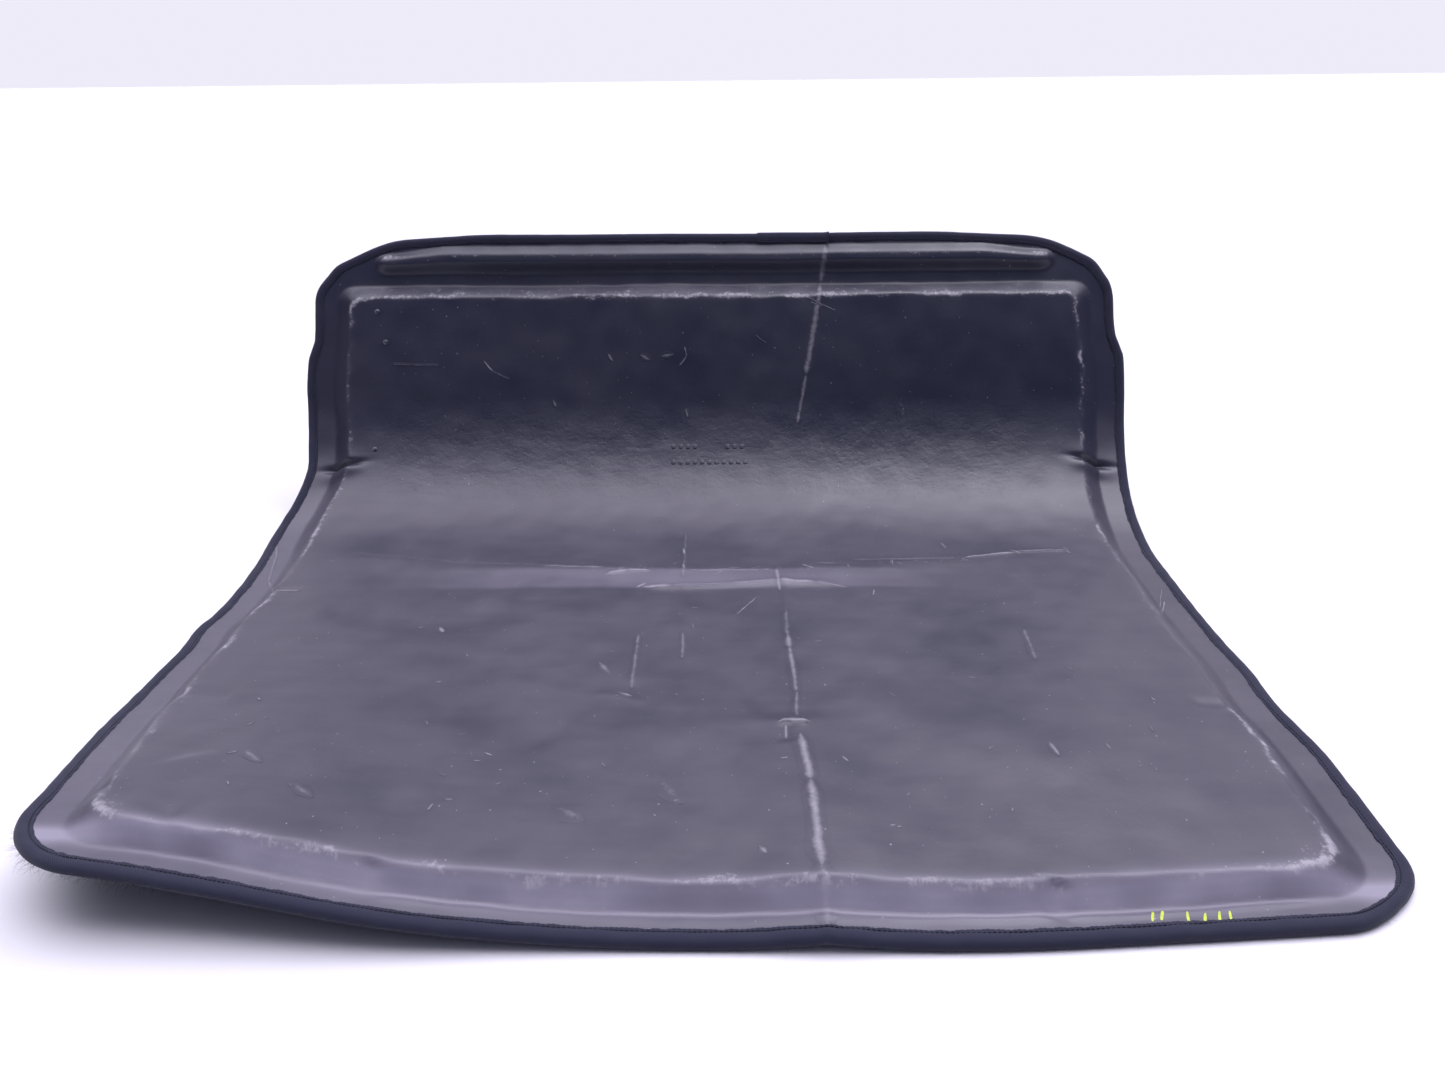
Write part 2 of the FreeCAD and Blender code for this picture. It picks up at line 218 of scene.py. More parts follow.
# creases and folds pressed into the whole sheet: a negative height is a groove
creases = [
    {"path": [(-0.46, 0.600), (-0.30, 0.566), (-0.10, 0.548), (0.08, 0.535), (0.25, 0.567), (0.46, 0.600)],
     "height": 0.0028, "width": 0.022},
    {"path": [(-0.07, 0.506), (0.0, 0.510), (0.08, 0.519), (0.155, 0.508)],
     "height": 0.0020, "width": 0.006},
    {"path": [(-0.115, 0.535), (-0.09, 0.544), (-0.065, 0.544)], "height": 0.0013, "width": 0.004},
    {"path": [(0.30, 0.578), (0.37, 0.596), (0.44, 0.603)], "height": 0.0012, "width": 0.005},
    {"path": [(-0.05, 0.545), (0.02, 0.549), (0.08, 0.548)], "height": 0.0009, "width": 0.005},
    {"path": [(0.089, 0.56), (0.088, 0.40), (0.092, 0.30), (0.088, 0.238)],
     "height": 0.0011, "width": 0.005},
    {"path": [(0.090, 0.222), (0.097, 0.16), (0.099, 0.06), (0.101, 0.0)],
     "height": 0.0014, "width": 0.006},
    {"path": [(0.086, 0.26), (0.095, 0.16), (0.100, 0.0)], "height": 0.0046, "width": 0.045},
    {"path": [(0.074, 0.236), (0.088, 0.240), (0.100, 0.234)], "height": 0.0016, "width": 0.004},
    {"path": [(0.080, 0.236), (0.078, 0.205)], "height": -0.0022, "width": 0.006},
    {"path": [(-0.030, 0.66), (-0.026, 0.52), (-0.018, 0.36)], "height": 0.0006, "width": 0.004},
    {"path": [(-0.066, 0.42), (-0.064, 0.30)], "height": 0.0007, "width": 0.005},
    {"path": [(-0.100, 0.288), (-0.068, 0.285), (-0.050, 0.272)], "height": 0.0010, "width": 0.005},
    {"path": [(-0.50, 0.108), (-0.462, 0.085), (-0.40, 0.062)], "height": -0.0030, "width": 0.011},
    {"path": [(-0.44, 0.155), (-0.415, 0.115), (-0.37, 0.085)], "height": 0.0016, "width": 0.024},
    {"path": [(-0.30, 0.024), (-0.10, 0.0215), (0.10, 0.0205), (0.305, 0.0265), (0.40, 0.0355),
              (0.49, 0.046)],
     "height": 0.0011, "width": 0.0022},
    {"path": [(-0.55, 0.505), (-0.49, 0.507), (-0.45, 0.507)], "height": -0.0018, "width": 0.006},
    {"path": [(-0.54, 0.285), (-0.47, 0.282), (-0.44, 0.278)], "height": -0.0020, "width": 0.009},
    {"path": [(0.45, 0.275), (0.50, 0.270), (0.55, 0.262)], "height": -0.0024, "width": 0.010},
    {"path": [(0.262, 0.024), (0.271, 0.047)], "height": -0.0046, "width": 0.0085},
    {"path": [(-0.243, 0.018), (-0.236, 0.045)], "height": -0.0030, "width": 0.008},
    {"path": [(-0.12, 0.20), (-0.02, 0.23), (0.06, 0.27)], "height": 0.0022, "width": 0.040},
    {"path": [(-0.30, 0.30), (-0.20, 0.26), (-0.12, 0.20)], "height": -0.0026, "width": 0.035},
    {"path": [(0.12, 0.30), (0.22, 0.22), (0.36, 0.18)], "height": 0.0024, "width": 0.040},
    {"path": [(-0.42, 0.46), (-0.30, 0.43), (-0.20, 0.44)], "height": -0.0022, "width": 0.030},
]
# where the side walls buckle at the bend
kinks = [
    {"at": (-0.497, 0.800), "turn": 0.10, "depth": 0.0095},
    {"at": (0.502, 0.803), "turn": -0.16, "depth": 0.0090},
]
waves = {"broad": 0.0016, "broadLength": 0.30, "fine": 0.00035, "fineLength": 0.055}


def creaseRelief(across, along):
    relief = np.zeros(across.shape)
    for crease in creases:
        apart, share = pathDistance(across, along, crease["path"])
        ends = smoothStep(0, 0.12, share) * smoothStep(1, 0.88, share)
        if crease["path"][-1][1] <= 0.0:        # runs out over the front edge
            ends = smoothStep(0, 0.12, share)
        relief += crease["height"] * ends * np.exp(-(apart / crease["width"]) ** 2)
    return np.where(relief < 0, relief * (0.15 + 0.85 * trayRise(across, along)), relief)


def kinkRelief(across, along):
    relief = np.zeros(across.shape)
    for kink in kinks:
        dx, dy = across - kink["at"][0], along - kink["at"][1]
        lengthwise = dx * math.cos(kink["turn"]) + dy * math.sin(kink["turn"])
        crosswise = -dx * math.sin(kink["turn"]) + dy * math.cos(kink["turn"])
        reach = np.exp(-(lengthwise / 0.024) ** 2)
        fold = -np.exp(-(crosswise / 0.0048) ** 2) + 0.42 * np.exp(-((crosswise + 0.013) / 0.009) ** 2)
        relief += kink["depth"] * reach * fold
    return relief


# how the whole sheet lies: the lifted front left corner and loose stretches of the border
lie = {"cornerLift": 0.056, "liftAcross": 0.56, "liftAlong": 0.36, "borderWave": 0.0022,
       "cornerTuck": 0.043, "tuckAcross": 0.46, "tuckAlong": 0.38, "rightTuck": 0.010}
edgeWander = {                                  # along, how far the side bulges out there
    "left": [(0.0, 0.0), (0.05, -0.003), (0.10, -0.008), (0.16, -0.003), (0.24, 0.003), (0.34, 0.003),
             (0.40, 0.0), (0.445, 0.006), (0.485, -0.001), (0.55, 0.0), (0.60, 0.005), (0.66, 0.013),
             (0.70, 0.012), (0.76, 0.002), (0.80, -0.004), (0.84, 0.001), (0.89, 0.005), (0.925, 0.007),
             (0.955, 0.005), (1.00, 0.002), (1.06, 0.003), (1.10, 0.006)],
    "right": [(0.0, -0.004), (0.03, -0.006), (0.06, 0.002), (0.10, -0.001), (0.22, 0.003),
              (0.30, -0.005), (0.36, -0.001), (0.40, -0.004), (0.49, -0.005), (0.60, -0.004),
              (0.68, 0.0), (0.75, 0.002), (0.85, 0.008), (0.91, 0.011), (0.96, 0.010), (1.00, 0.004),
              (1.055, 0.003), (1.085, 0.010), (1.12, 0.020)],
}


def borderShift(across, along):
    shift = np.zeros(across.shape)
    for side, sign in (("left", -1.0), ("right", 1.0)):
        stations, amounts = np.array(edgeWander[side]).T
        smooth = sum(np.interp(along + offset, stations, amounts) for offset in (-0.012, 0.0, 0.012)) / 3
        shift += np.where(across * sign > 0, sign * smooth * smoothStep(0.36, 0.52, np.abs(across)), 0)
    fromLeft, fromRight = liner["halfWidth"] + across, liner["halfWidth"] - across
    shift += (lie["cornerTuck"] * (1 - smoothStep(0.0, lie["tuckAcross"], fromLeft))
              * (1 - smoothStep(0.0, lie["tuckAlong"], along)))
    shift -= lie["rightTuck"] * (1 - smoothStep(0.0, 0.12, fromRight)) * (1 - smoothStep(0.0, 0.10, along))
    return shift


def layOfSheet(across, along):                  # height that both layers share above flat
    fromLeft = across + liner["halfWidth"]
    lift = (lie["cornerLift"] * (1 - smoothStep(-0.05, lie["liftAcross"], fromLeft))
            * (1 - smoothStep(0.0, lie["liftAlong"], along)))
    edge = smoothStep(0.42, 0.55, np.abs(across)) * smoothStep(0.05, 0.16, along)
    border = lie["borderWave"] * edge * (0.6 + 0.6 * ripple(0.0, along, 0.30, 11))
    broad = waves["broad"] * (ripple(across, along, waves["broadLength"], 21) + 0.9)
    inner = smoothStep(0.54, 0.40, np.abs(across)) * smoothStep(0.0, 0.10, along)
    panel = smoothStep(0.62, 0.80, along)
    bow = -0.006 * panel * (1 - (across / 0.55) ** 2)
    return lift + np.maximum(border, 0) * (1 - panel) + broad * inner + bow


def shapedPoint(across, along, above):          # flat sheet to the folded liner
    across, along, above = np.broadcast_arrays(*(np.asarray(v, float) for v in (across, along, above)))
    height = above + layOfSheet(across, along) + creaseRelief(across, along) + kinkRelief(across, along)
    height = np.where(along < liner["floorLength"], np.maximum(height, 0.0002 + 0.6 * above), height)
    across = across + borderShift(across, along)
    turn = np.clip((along - liner["floorLength"]) / liner["bendRadius"], 0.0, liner["bendAngle"])
    past = np.maximum(along - liner["floorLength"] - liner["bendRadius"] * liner["bendAngle"], 0.0)
    reach = liner["bendRadius"] - height
    y = cadLow.y + np.minimum(along, liner["floorLength"]) + reach * np.sin(turn)
    z = liner["bendRadius"] - reach * np.cos(turn)
    y, z = y + past * math.cos(liner["bendAngle"]), z + past * math.sin(liner["bendAngle"])
    return np.stack((across, y, z), axis=-1)


def rubberHeight(across, along):                # rubber face above the flat border's carpet face
    fine = waves["fine"] * ripple(across, along, waves["fineLength"], 31)
    return (sheetThickness + trayShape["height"] * trayRise(across, along)
            + ribShape["height"] * ribRise(across, along) + fine)


def newMaterial(name):
    material = bpy.data.materials.new(name)
    material.use_nodes = True
    tree = material.node_tree
    return material, tree, tree.nodes["Principled BSDF"]


def addNode(tree, kind, inputs=None, **settings):
    node = tree.nodes.new(kind)
    for key, value in settings.items():
        setattr(node, key, value)
    for key, value in (inputs or {}).items():
        if isinstance(value, bpy.types.NodeSocket):
            tree.links.new(value, node.inputs[key])
        else:
            node.inputs[key].default_value = value
    return node


def arithmetic(tree, operation, first, second=0.0, clamp=False):
    node = addNode(tree, "ShaderNodeMath", {0: first, 1: second}, operation=operation)
    node.use_clamp = clamp
    return node.outputs[0]


def rescaled(tree, value, fromLow, fromHigh, toLow=0.0, toHigh=1.0):
    node = addNode(tree, "ShaderNodeMapRange", {"Value": value, "From Min": fromLow, "From Max": fromHigh,
                                                "To Min": toLow, "To Max": toHigh})
    return node.outputs["Result"]


def blendColours(tree, share, first, second):
    node = addNode(tree, "ShaderNodeMix", data_type="RGBA")
    for key, value in ((0, share), (6, first), (7, second)):
        if isinstance(value, bpy.types.NodeSocket):
            tree.links.new(value, node.inputs[key])
        else:
            node.inputs[key].default_value = value if key == 0 else (*value, 1.0)
    return node.outputs[2]


def grain(tree, vector, scale, detail=3.0, roughness=0.55, stretch=None):
    if stretch:
        vector = addNode(tree, "ShaderNodeMapping", {"Vector": vector, "Scale": stretch}).outputs[0]
    node = addNode(tree, "ShaderNodeTexNoise", {"Vector": vector, "Scale": scale, "Detail": detail,
                                                "Roughness": roughness})
    return node.outputs["Fac"]


def bands(tree, vector, scale, distortion, detail=2.0, detailScale=1.0):
    node = addNode(tree, "ShaderNodeTexWave", {"Vector": vector, "Scale": scale, "Distortion": distortion,
                                               "Detail": detail, "Detail Scale": detailScale})
    return node.outputs["Fac"]


def pebbles(tree, vector, scale):
    node = addNode(tree, "ShaderNodeTexVoronoi", {"Vector": vector, "Scale": scale, "Randomness": 1.0})
    return node.outputs["Distance"]


def bump(tree, height, strength, distance, normal=None):
    node = addNode(tree, "ShaderNodeBump", {"Height": height, "Strength": strength, "Distance": distance})
    if normal is not None:
        tree.links.new(normal, node.inputs["Normal"])
    return node.outputs["Normal"]


# pale marks on the rubber: start, finish, half-width, strength
scuffs = [
    ((0.157, 1.116), (0.150, 1.060), 0.0050, 0.45), ((0.150, 1.060), (0.128, 0.930), 0.0046, 0.62),
    ((0.128, 0.930), (0.116, 0.862), 0.0030, 0.60),                    # long slanted rub on the panel
    ((-0.308, 0.952), (-0.296, 0.938), 0.0009, 1.1), ((-0.296, 0.938), (-0.274, 0.928), 0.0006, 0.6),
    ((-0.036, 0.970), (-0.033, 0.957), 0.0008, 0.9), ((-0.033, 0.957), (-0.043, 0.945), 0.0008, 0.8),
    ((-0.139, 0.960), (-0.133, 0.952), 0.0018, 0.8), ((-0.094, 0.958), (-0.084, 0.953), 0.0034, 0.7),
    ((-0.066, 0.957), (-0.052, 0.959), 0.0034, 0.6), ((-0.43, 0.948), (-0.37, 0.946), 0.0010, 0.35),
    ((0.128, 1.038), (0.168, 1.018), 0.0006, 0.9), ((0.135, 1.030), (0.150, 1.024), 0.0006, 0.7),
    ((-0.214, 0.898), (-0.210, 0.888), 0.0018, 0.55), ((-0.034, 0.884), (-0.031, 0.872), 0.0018, 0.55),
    ((0.255, 0.900), (0.262, 0.840), 0.0040, 0.16), ((0.06, 0.985), (0.075, 0.975), 0.0005, 0.5),
    ((-0.115, 0.534), (-0.092, 0.544), 0.0028, 0.9), ((-0.092, 0.544), (-0.066, 0.545), 0.0022, 1.1),
    ((-0.068, 0.507), (-0.038, 0.510), 0.0040, 1.0), ((-0.078, 0.506), (-0.068, 0.516), 0.0016, 1.0),
    ((-0.038, 0.510), (0.080, 0.519), 0.0026, 0.50), ((0.080, 0.519), (0.125, 0.514), 0.0036, 0.9),
    ((0.125, 0.514), (0.158, 0.505), 0.0026, 0.5),
    ((0.081, 0.548), (0.083, 0.498), 0.0020, 0.8), ((-0.018, 0.546), (0.06, 0.547), 0.0014, 0.5),
    ((0.026, 0.556), (0.040, 0.552), 0.0012, 0.8), ((0.112, 0.560), (0.124, 0.548), 0.0012, 1.0),
    ((0.13, 0.565), (0.15, 0.560), 0.0016, 0.6), ((-0.36, 0.582), (-0.345, 0.580), 0.0030, 1.0),
    ((-0.43, 0.600), (-0.30, 0.568), 0.0022, 0.22), ((-0.30, 0.568), (-0.12, 0.552), 0.0022, 0.26),
    ((-0.19, 0.556), (-0.12, 0.552), 0.0030, 0.55), ((0.17, 0.572), (0.29, 0.577), 0.0024, 0.35),
    ((0.305, 0.579), (0.365, 0.592), 0.0018, 0.9), ((0.362, 0.602), (0.372, 0.590), 0.0020, 0.9),
    ((0.37, 0.596), (0.43, 0.602), 0.0026, 0.5), ((0.430, 0.612), (0.434, 0.592), 0.0020, 0.5),
    ((0.056, 0.482), (0.036, 0.446), 0.0009, 0.8), ((-0.029, 0.66), (-0.026, 0.53), 0.0016, 0.28),
    ((-0.030, 0.612), (-0.028, 0.596), 0.0018, 0.9), ((-0.028, 0.565), (-0.026, 0.550), 0.0018, 0.8),
    ((-0.020, 0.405), (-0.018, 0.355), 0.0020, 0.45), ((-0.066, 0.40), (-0.064, 0.30), 0.0022, 0.38),
    ((-0.075, 0.290), (-0.062, 0.284), 0.0022, 0.9), ((-0.100, 0.345), (-0.088, 0.325), 0.0040, 0.55),
    ((0.088, 0.45), (0.088, 0.395), 0.0030, 0.35), ((0.088, 0.398), (0.089, 0.372), 0.0044, 0.8),
    ((0.089, 0.372), (0.092, 0.290), 0.0028, 0.60), ((0.092, 0.290), (0.090, 0.245), 0.0022, 0.4),
    ((0.074, 0.236), (0.101, 0.236), 0.0018, 0.9), ((0.080, 0.236), (0.079, 0.212), 0.0014, 0.7),
    ((0.092, 0.214), (0.097, 0.150), 0.0044, 0.85), ((0.097, 0.150), (0.099, 0.055), 0.0046, 0.85),
    ((0.099, 0.055), (0.101, 0.014), 0.0060, 0.34),
    ((0.055, 0.075), (0.058, 0.071), 0.0036, 1.0), ((-0.278, 0.420), (-0.272, 0.410), 0.0030, 1.1),
    ((0.188, 0.498), (0.186, 0.486), 0.0010, 0.9), ((0.126, 0.188), (0.131, 0.182), 0.0010, 1.0),
    ((0.305, 0.205), (0.308, 0.188), 0.0022, 0.7), ((0.333, 0.41), (0.330, 0.35), 0.0026, 0.35),
    ((0.285, 0.628), (0.288, 0.610), 0.0022, 0.5), ((-0.535, 0.655), (-0.520, 0.560), 0.0011, 0.5),
    ((-0.520, 0.560), (-0.492, 0.508), 0.0011, 0.6), ((-0.498, 0.506), (-0.462, 0.507), 0.0014, 0.8),
    ((0.500, 0.462), (0.520, 0.505), 0.0009, 0.8), ((0.505, 0.480), (0.527, 0.535), 0.0006, 0.6),
    ((-0.105, 0.118), (-0.085, 0.105), 0.0050, 0.3), ((-0.03, 0.16), (-0.01, 0.13), 0.0060, 0.22),
    ((-0.33, 0.120), (-0.31, 0.105), 0.0040, 0.35), ((-0.39, 0.165), (-0.37, 0.150), 0.0030, 0.4),
]
nicks = {
    "seed": 5, "alongCrease": 90, "overFloor": 60, "length": (0.0015, 0.0090), "width": (0.0004, 0.0011),
    "crease": [(-0.46, 0.598), (-0.30, 0.567), (-0.10, 0.549), (0.08, 0.545), (0.25, 0.567), (0.46, 0.598)],
    "spread": 0.006,
}


def scatterNicks():                             # small scratches, most of them beside the long crease
    generator = np.random.default_rng(nicks["seed"])
    crease = np.array(nicks["crease"])
    for number in range(nicks["alongCrease"] + nicks["overFloor"]):
        if number < nicks["alongCrease"]:
            across = generator.normal(0.10, 0.22)
            along = np.interp(across, *crease.T) + generator.normal(0.0, nicks["spread"])
        else:
            across, along = generator.uniform(-0.42, 0.44), generator.uniform(0.09, 0.50)
        heading = generator.normal(0.0, 0.7) + (math.pi / 2) * (generator.random() < 0.25)
        length, width = generator.uniform(*nicks["length"]), generator.uniform(*nicks["width"])
        if abs(across) < 0.46:
            finish = (across + length * math.cos(heading), along + length * math.sin(heading))
            yield (across, along), finish, width, generator.uniform(0.35, 1.0)


rubberLook = {
    "deep": (0.0095, 0.0115, 0.0310),           # clean rubber
    "dustFilmAndLight": (0.0530, 0.0480, 0.0720),          # film of dust on the floor part; on the rear wall it is painted highlight
    "thickDustAndLight": (0.250, 0.232, 0.300),          # thick dust on the border; on the front wall dust and painted light
    "worn": (0.315, 0.298, 0.340),              # bared pale rubber on edges and creases
    "roughness": (0.36, 0.50),
}


def rubberMaterial():
    material, tree, shader = newMaterial("scuffedRubber")
    flat = addNode(tree, "ShaderNodeUVMap", uv_map="flatSheet").outputs[0]
    edgeWear = addNode(tree, "ShaderNodeAttribute", attribute_name="edgeWear").outputs["Fac"]
    dustAndLight = addNode(tree, "ShaderNodeAttribute", attribute_name="dustAndLight").outputs["Fac"]
    crumple = addNode(tree, "ShaderNodeAttribute", attribute_name="crumple").outputs["Fac"]
    cloud = grain(tree, flat, 9.0, 4.0, 0.6)
    streaks = grain(tree, flat, 60.0, 4.0, 0.65, stretch=(0.22, 1.0, 1.0))
    speckle = grain(tree, flat, 420.0, 2.0, 0.6)
    chips = grain(tree, flat, 230.0, 5.0, 0.72)

    # dust film; also painted light on the front wall and painted highlight on the rear wall
    filmAndLightShare = arithmetic(tree, "MULTIPLY", dustAndLight, rescaled(tree, cloud, 0.3, 0.7, 0.55, 1.15))
    filmAndLightShare = arithmetic(tree, "MULTIPLY", filmAndLightShare, rescaled(tree, streaks, 0.25, 0.75, 0.80, 1.15), clamp=True)
    colour = blendColours(tree, filmAndLightShare, rubberLook["deep"], rubberLook["dustFilmAndLight"])
    # thick dust on the border, and painted light on the front wall
    thickDustAndLightShare = arithmetic(tree, "MULTIPLY", rescaled(tree, dustAndLight, 1.0, 2.0),
                       rescaled(tree, cloud, 0.3, 0.7, 0.7, 1.0))
    colour = blendColours(tree, thickDustAndLightShare, colour, rubberLook["thickDustAndLight"])
    colour = blendColours(tree, rescaled(tree, speckle, 0.62, 0.80, 0.0, 0.16), colour, (0.13, 0.12, 0.14))
    lint = grain(tree, flat, 330.0, 0.0)
    colour = blendColours(tree, rescaled(tree, lint, 0.845, 0.875, 0.0, 0.6), colour, (0.34, 0.32, 0.35))

    marks = addNode(tree, "ShaderNodeAttribute", attribute_name="mark").outputs["Fac"]
    patches = grain(tree, flat, 95.0, 4.0, 0.7)
    broken = arithmetic(tree, "ADD", rescaled(tree, patches, 0.25, 0.75, -0.55, 0.45),
                        rescaled(tree, chips, 0.25, 0.75, -0.45, 0.45))
    wear = rescaled(tree, arithmetic(tree, "ADD", edgeWear, broken), 0.42, 1.05, 0.0, 0.90)
    wear = arithmetic(tree, "MULTIPLY", wear, rescaled(tree, edgeWear, 0.04, 0.25))
    haze = arithmetic(tree, "MULTIPLY", edgeWear, rescaled(tree, cloud, 0.35, 0.65, 0.03, 0.15))
    scuffed = arithmetic(tree, "ADD", marks, arithmetic(tree, "MULTIPLY", broken, 0.55))
    scuffed = arithmetic(tree, "MULTIPLY", rescaled(tree, scuffed, 0.05, 1.20, 0.0, 0.80),
                         rescaled(tree, marks, 0.0, 0.3))
    worn = arithmetic(tree, "MAXIMUM", arithmetic(tree, "MAXIMUM", wear, haze), scuffed, clamp=True)
    colour = blendColours(tree, worn, colour, rubberLook["worn"])
    tree.links.new(colour, shader.inputs["Base Color"])

    low, high = rubberLook["roughness"]
    rough = rescaled(tree, cloud, 0.3, 0.7, low, high)
    rough = arithmetic(tree, "ADD", rough, arithmetic(tree, "MULTIPLY", worn, 0.25), clamp=True)
    tree.links.new(rough, shader.inputs["Roughness"])
    shader.inputs["Specular IOR Level"].default_value = 0.5

    normal = bump(tree, pebbles(tree, flat, 520.0), 0.10, 0.0004)
    pits = rescaled(tree, grain(tree, flat, 150.0, 3.0, 0.6), 0.54, 0.72)
    dimples = rescaled(tree, grain(tree, flat, 70.0, 2.0, 0.5), 0.30, 0.70)
    pocks = arithmetic(tree, "MULTIPLY", arithmetic(tree, "SUBTRACT", dimples, pits), crumple)
    normal = bump(tree, pocks, 0.16, 0.0022, normal)
    normal = bump(tree, grain(tree, flat, 34.0, 3.0, 0.5), 0.30, 0.0016, normal)
    tree.links.new(normal, shader.inputs["Normal"])
    return material


tapeLook = {"yarn": (0.0275, 0.0295, 0.0600), "gap": (0.0120, 0.0132, 0.0290), "threads": 1500.0,
            "twillSlope": 42}


def tapeMaterial():
    material, tree, shader = newMaterial("wovenEdgeTape")
    flat = addNode(tree, "ShaderNodeUVMap", uv_map="tapeRun").outputs[0]
    slope = (0, 0, math.radians(tapeLook["twillSlope"]))
    turned = addNode(tree, "ShaderNodeMapping", {"Vector": flat, "Rotation": slope}).outputs[0]
    twill = bands(tree, turned, tapeLook["threads"] / 6.3, 0.6, 1.0)
    cross = bands(tree, flat, tapeLook["threads"] / 4.2, 0.8, 1.0)
    weave = arithmetic(tree, "MULTIPLY", twill, rescaled(tree, cross, 0, 1, 0.6, 1.0))
    fuzz = grain(tree, flat, 900.0, 4.0, 0.7)
    fade = grain(tree, flat, 22.0, 3.0, 0.6)
    colour = blendColours(tree, weave, tapeLook["gap"], tapeLook["yarn"])
    colour = blendColours(tree, rescaled(tree, fuzz, 0.60, 0.82, 0.0, 0.35), colour, (0.045, 0.046, 0.062))
    colour = blendColours(tree, rescaled(tree, fade, 0.52, 0.80, 0.0, 0.28), colour, (0.030, 0.031, 0.044))
    tree.links.new(colour, shader.inputs["Base Color"])
    shader.inputs["Roughness"].default_value = 0.88
    shader.inputs["Specular IOR Level"].default_value = 0.25
    shader.inputs["Sheen Weight"].default_value = 0.12
    shader.inputs["Sheen Roughness"].default_value = 0.5
    normal = bump(tree, weave, 0.35, 0.0004)
    normal = bump(tree, fuzz, 0.5, 0.0005, normal)
    tree.links.new(normal, shader.inputs["Normal"])
    return material


carpetLook = {"pile": (0.0120, 0.0140, 0.0235), "tips": (0.034, 0.037, 0.052)}


def carpetMaterial():
    material, tree, shader = newMaterial("needleFeltCarpet")
    flat = addNode(tree, "ShaderNodeUVMap", uv_map="flatSheet").outputs[0]
    tufts = pebbles(tree, flat, 420.0)
    strands = grain(tree, flat, 700.0, 5.0, 0.75)
    swirl = grain(tree, flat, 16.0, 4.0, 0.6)
    ribs = bands(tree, flat, 42.0, 2.5, 3.0, 3.0)
    tips = arithmetic(tree, "MULTIPLY", rescaled(tree, strands, 0.40, 0.75),
                      rescaled(tree, swirl, 0.25, 0.75, 0.5, 1.0))
    colour = blendColours(tree, tips, carpetLook["pile"], carpetLook["tips"])
    tree.links.new(colour, shader.inputs["Base Color"])
    shader.inputs["Roughness"].default_value = 0.96
    shader.inputs["Specular IOR Level"].default_value = 0.15
    shader.inputs["Sheen Weight"].default_value = 0.30
    shader.inputs["Sheen Roughness"].default_value = 0.45
    normal = bump(tree, tufts, 0.8, 0.0016)
    normal = bump(tree, ribs, 0.12, 0.0010, normal)
    normal = bump(tree, strands, 0.7, 0.0010, normal)
    tree.links.new(normal, shader.inputs["Normal"])
    return material


def threadMaterial():
    material, tree, shader = newMaterial("sewingThread")
    twist = bands(tree, addNode(tree, "ShaderNodeTexCoord").outputs["Object"], 420.0, 1.0)
    colour = blendColours(tree, twist, (0.004, 0.0045, 0.009), (0.012, 0.013, 0.022))
    tree.links.new(colour, shader.inputs["Base Color"])
    shader.inputs["Roughness"].default_value = 0.75
    tree.links.new(bump(tree, twist, 0.4, 0.0002), shader.inputs["Normal"])
    return material


def paintMaterial():
    material, tree, shader = newMaterial("markerPaint")
    patchy = grain(tree, addNode(tree, "ShaderNodeTexCoord").outputs["Object"], 500.0, 3.0, 0.6)
    colour = blendColours(tree, rescaled(tree, patchy, 0.35, 0.7), (0.36, 0.46, 0.03), (0.62, 0.72, 0.04))
    tree.links.new(colour, shader.inputs["Base Color"])
    shader.inputs["Roughness"].default_value = 0.5
    tree.links.new(bump(tree, patchy, 0.3, 0.0002), shader.inputs["Normal"])
    return material


rubber, tape, felt = rubberMaterial(), tapeMaterial(), carpetMaterial()
thread, paint = threadMaterial(), paintMaterial()
print("rubber, tape, carpet, thread and paint materials made")


def meshPiece(name, points, faces, material, uv=None, uvName="flatSheet", attributes=None):
    mesh = bpy.data.meshes.new(name)
    faces = np.asarray(faces, dtype=np.int32)
    sides = faces.shape[1]
    mesh.vertices.add(len(points))
    mesh.vertices.foreach_set("co", np.asarray(points, np.float32).ravel())
    mesh.loops.add(faces.size)
    mesh.loops.foreach_set("vertex_index", faces.ravel())
    mesh.polygons.add(len(faces))
    mesh.polygons.foreach_set("loop_start", np.arange(0, faces.size, sides, dtype=np.int32))
    mesh.update(calc_edges=True)
    mesh.polygons.foreach_set("use_smooth", np.ones(len(faces), dtype=bool))
    if uv is not None:
        layer = mesh.uv_layers.new(name=uvName)
        layer.data.foreach_set("uv", np.asarray(uv, np.float32)[faces.ravel()].ravel())
    for key, values in (attributes or {}).items():
        attribute = mesh.attributes.new(key, "FLOAT", "POINT")
        attribute.data.foreach_set("value", np.asarray(values, np.float32).ravel())
    mesh.materials.append(material)
    mesh.validate()
    piece = bpy.data.objects.new(name, mesh)
    bpy.context.scene.collection.objects.link(piece)
    return piece


def gridLines(low, high, coarse, fine, fineSpans, always=()):
    lines, here = [low], low
    while here < high - 1e-6:
        spacing = fine if any(a <= here <= b for a, b in fineSpans) else coarse
        here = min(here + spacing, high)
        lines.append(here)
    lines = np.array(lines)
    for value in always:
        lines[np.argmin(np.abs(lines - value))] = value
    return lines


def quadsOf(index):                             # the four corners of each cell in a grid of vertex numbers
    return np.stack((index[:-1, :-1], index[:-1, 1:], index[1:, 1:], index[1:, :-1]), -1)


fineStretches = {                               # where the sheets need a finer mesh
    "across": [(-0.53, -0.46), (0.08, 0.106), (0.46, 0.53)],
    "along": [(0.018, 0.070), (0.496, 0.555), (0.785, 0.815), (1.030, 1.118)],
    "inset": 0.002,                             # from the outer edge, which the tape covers
}


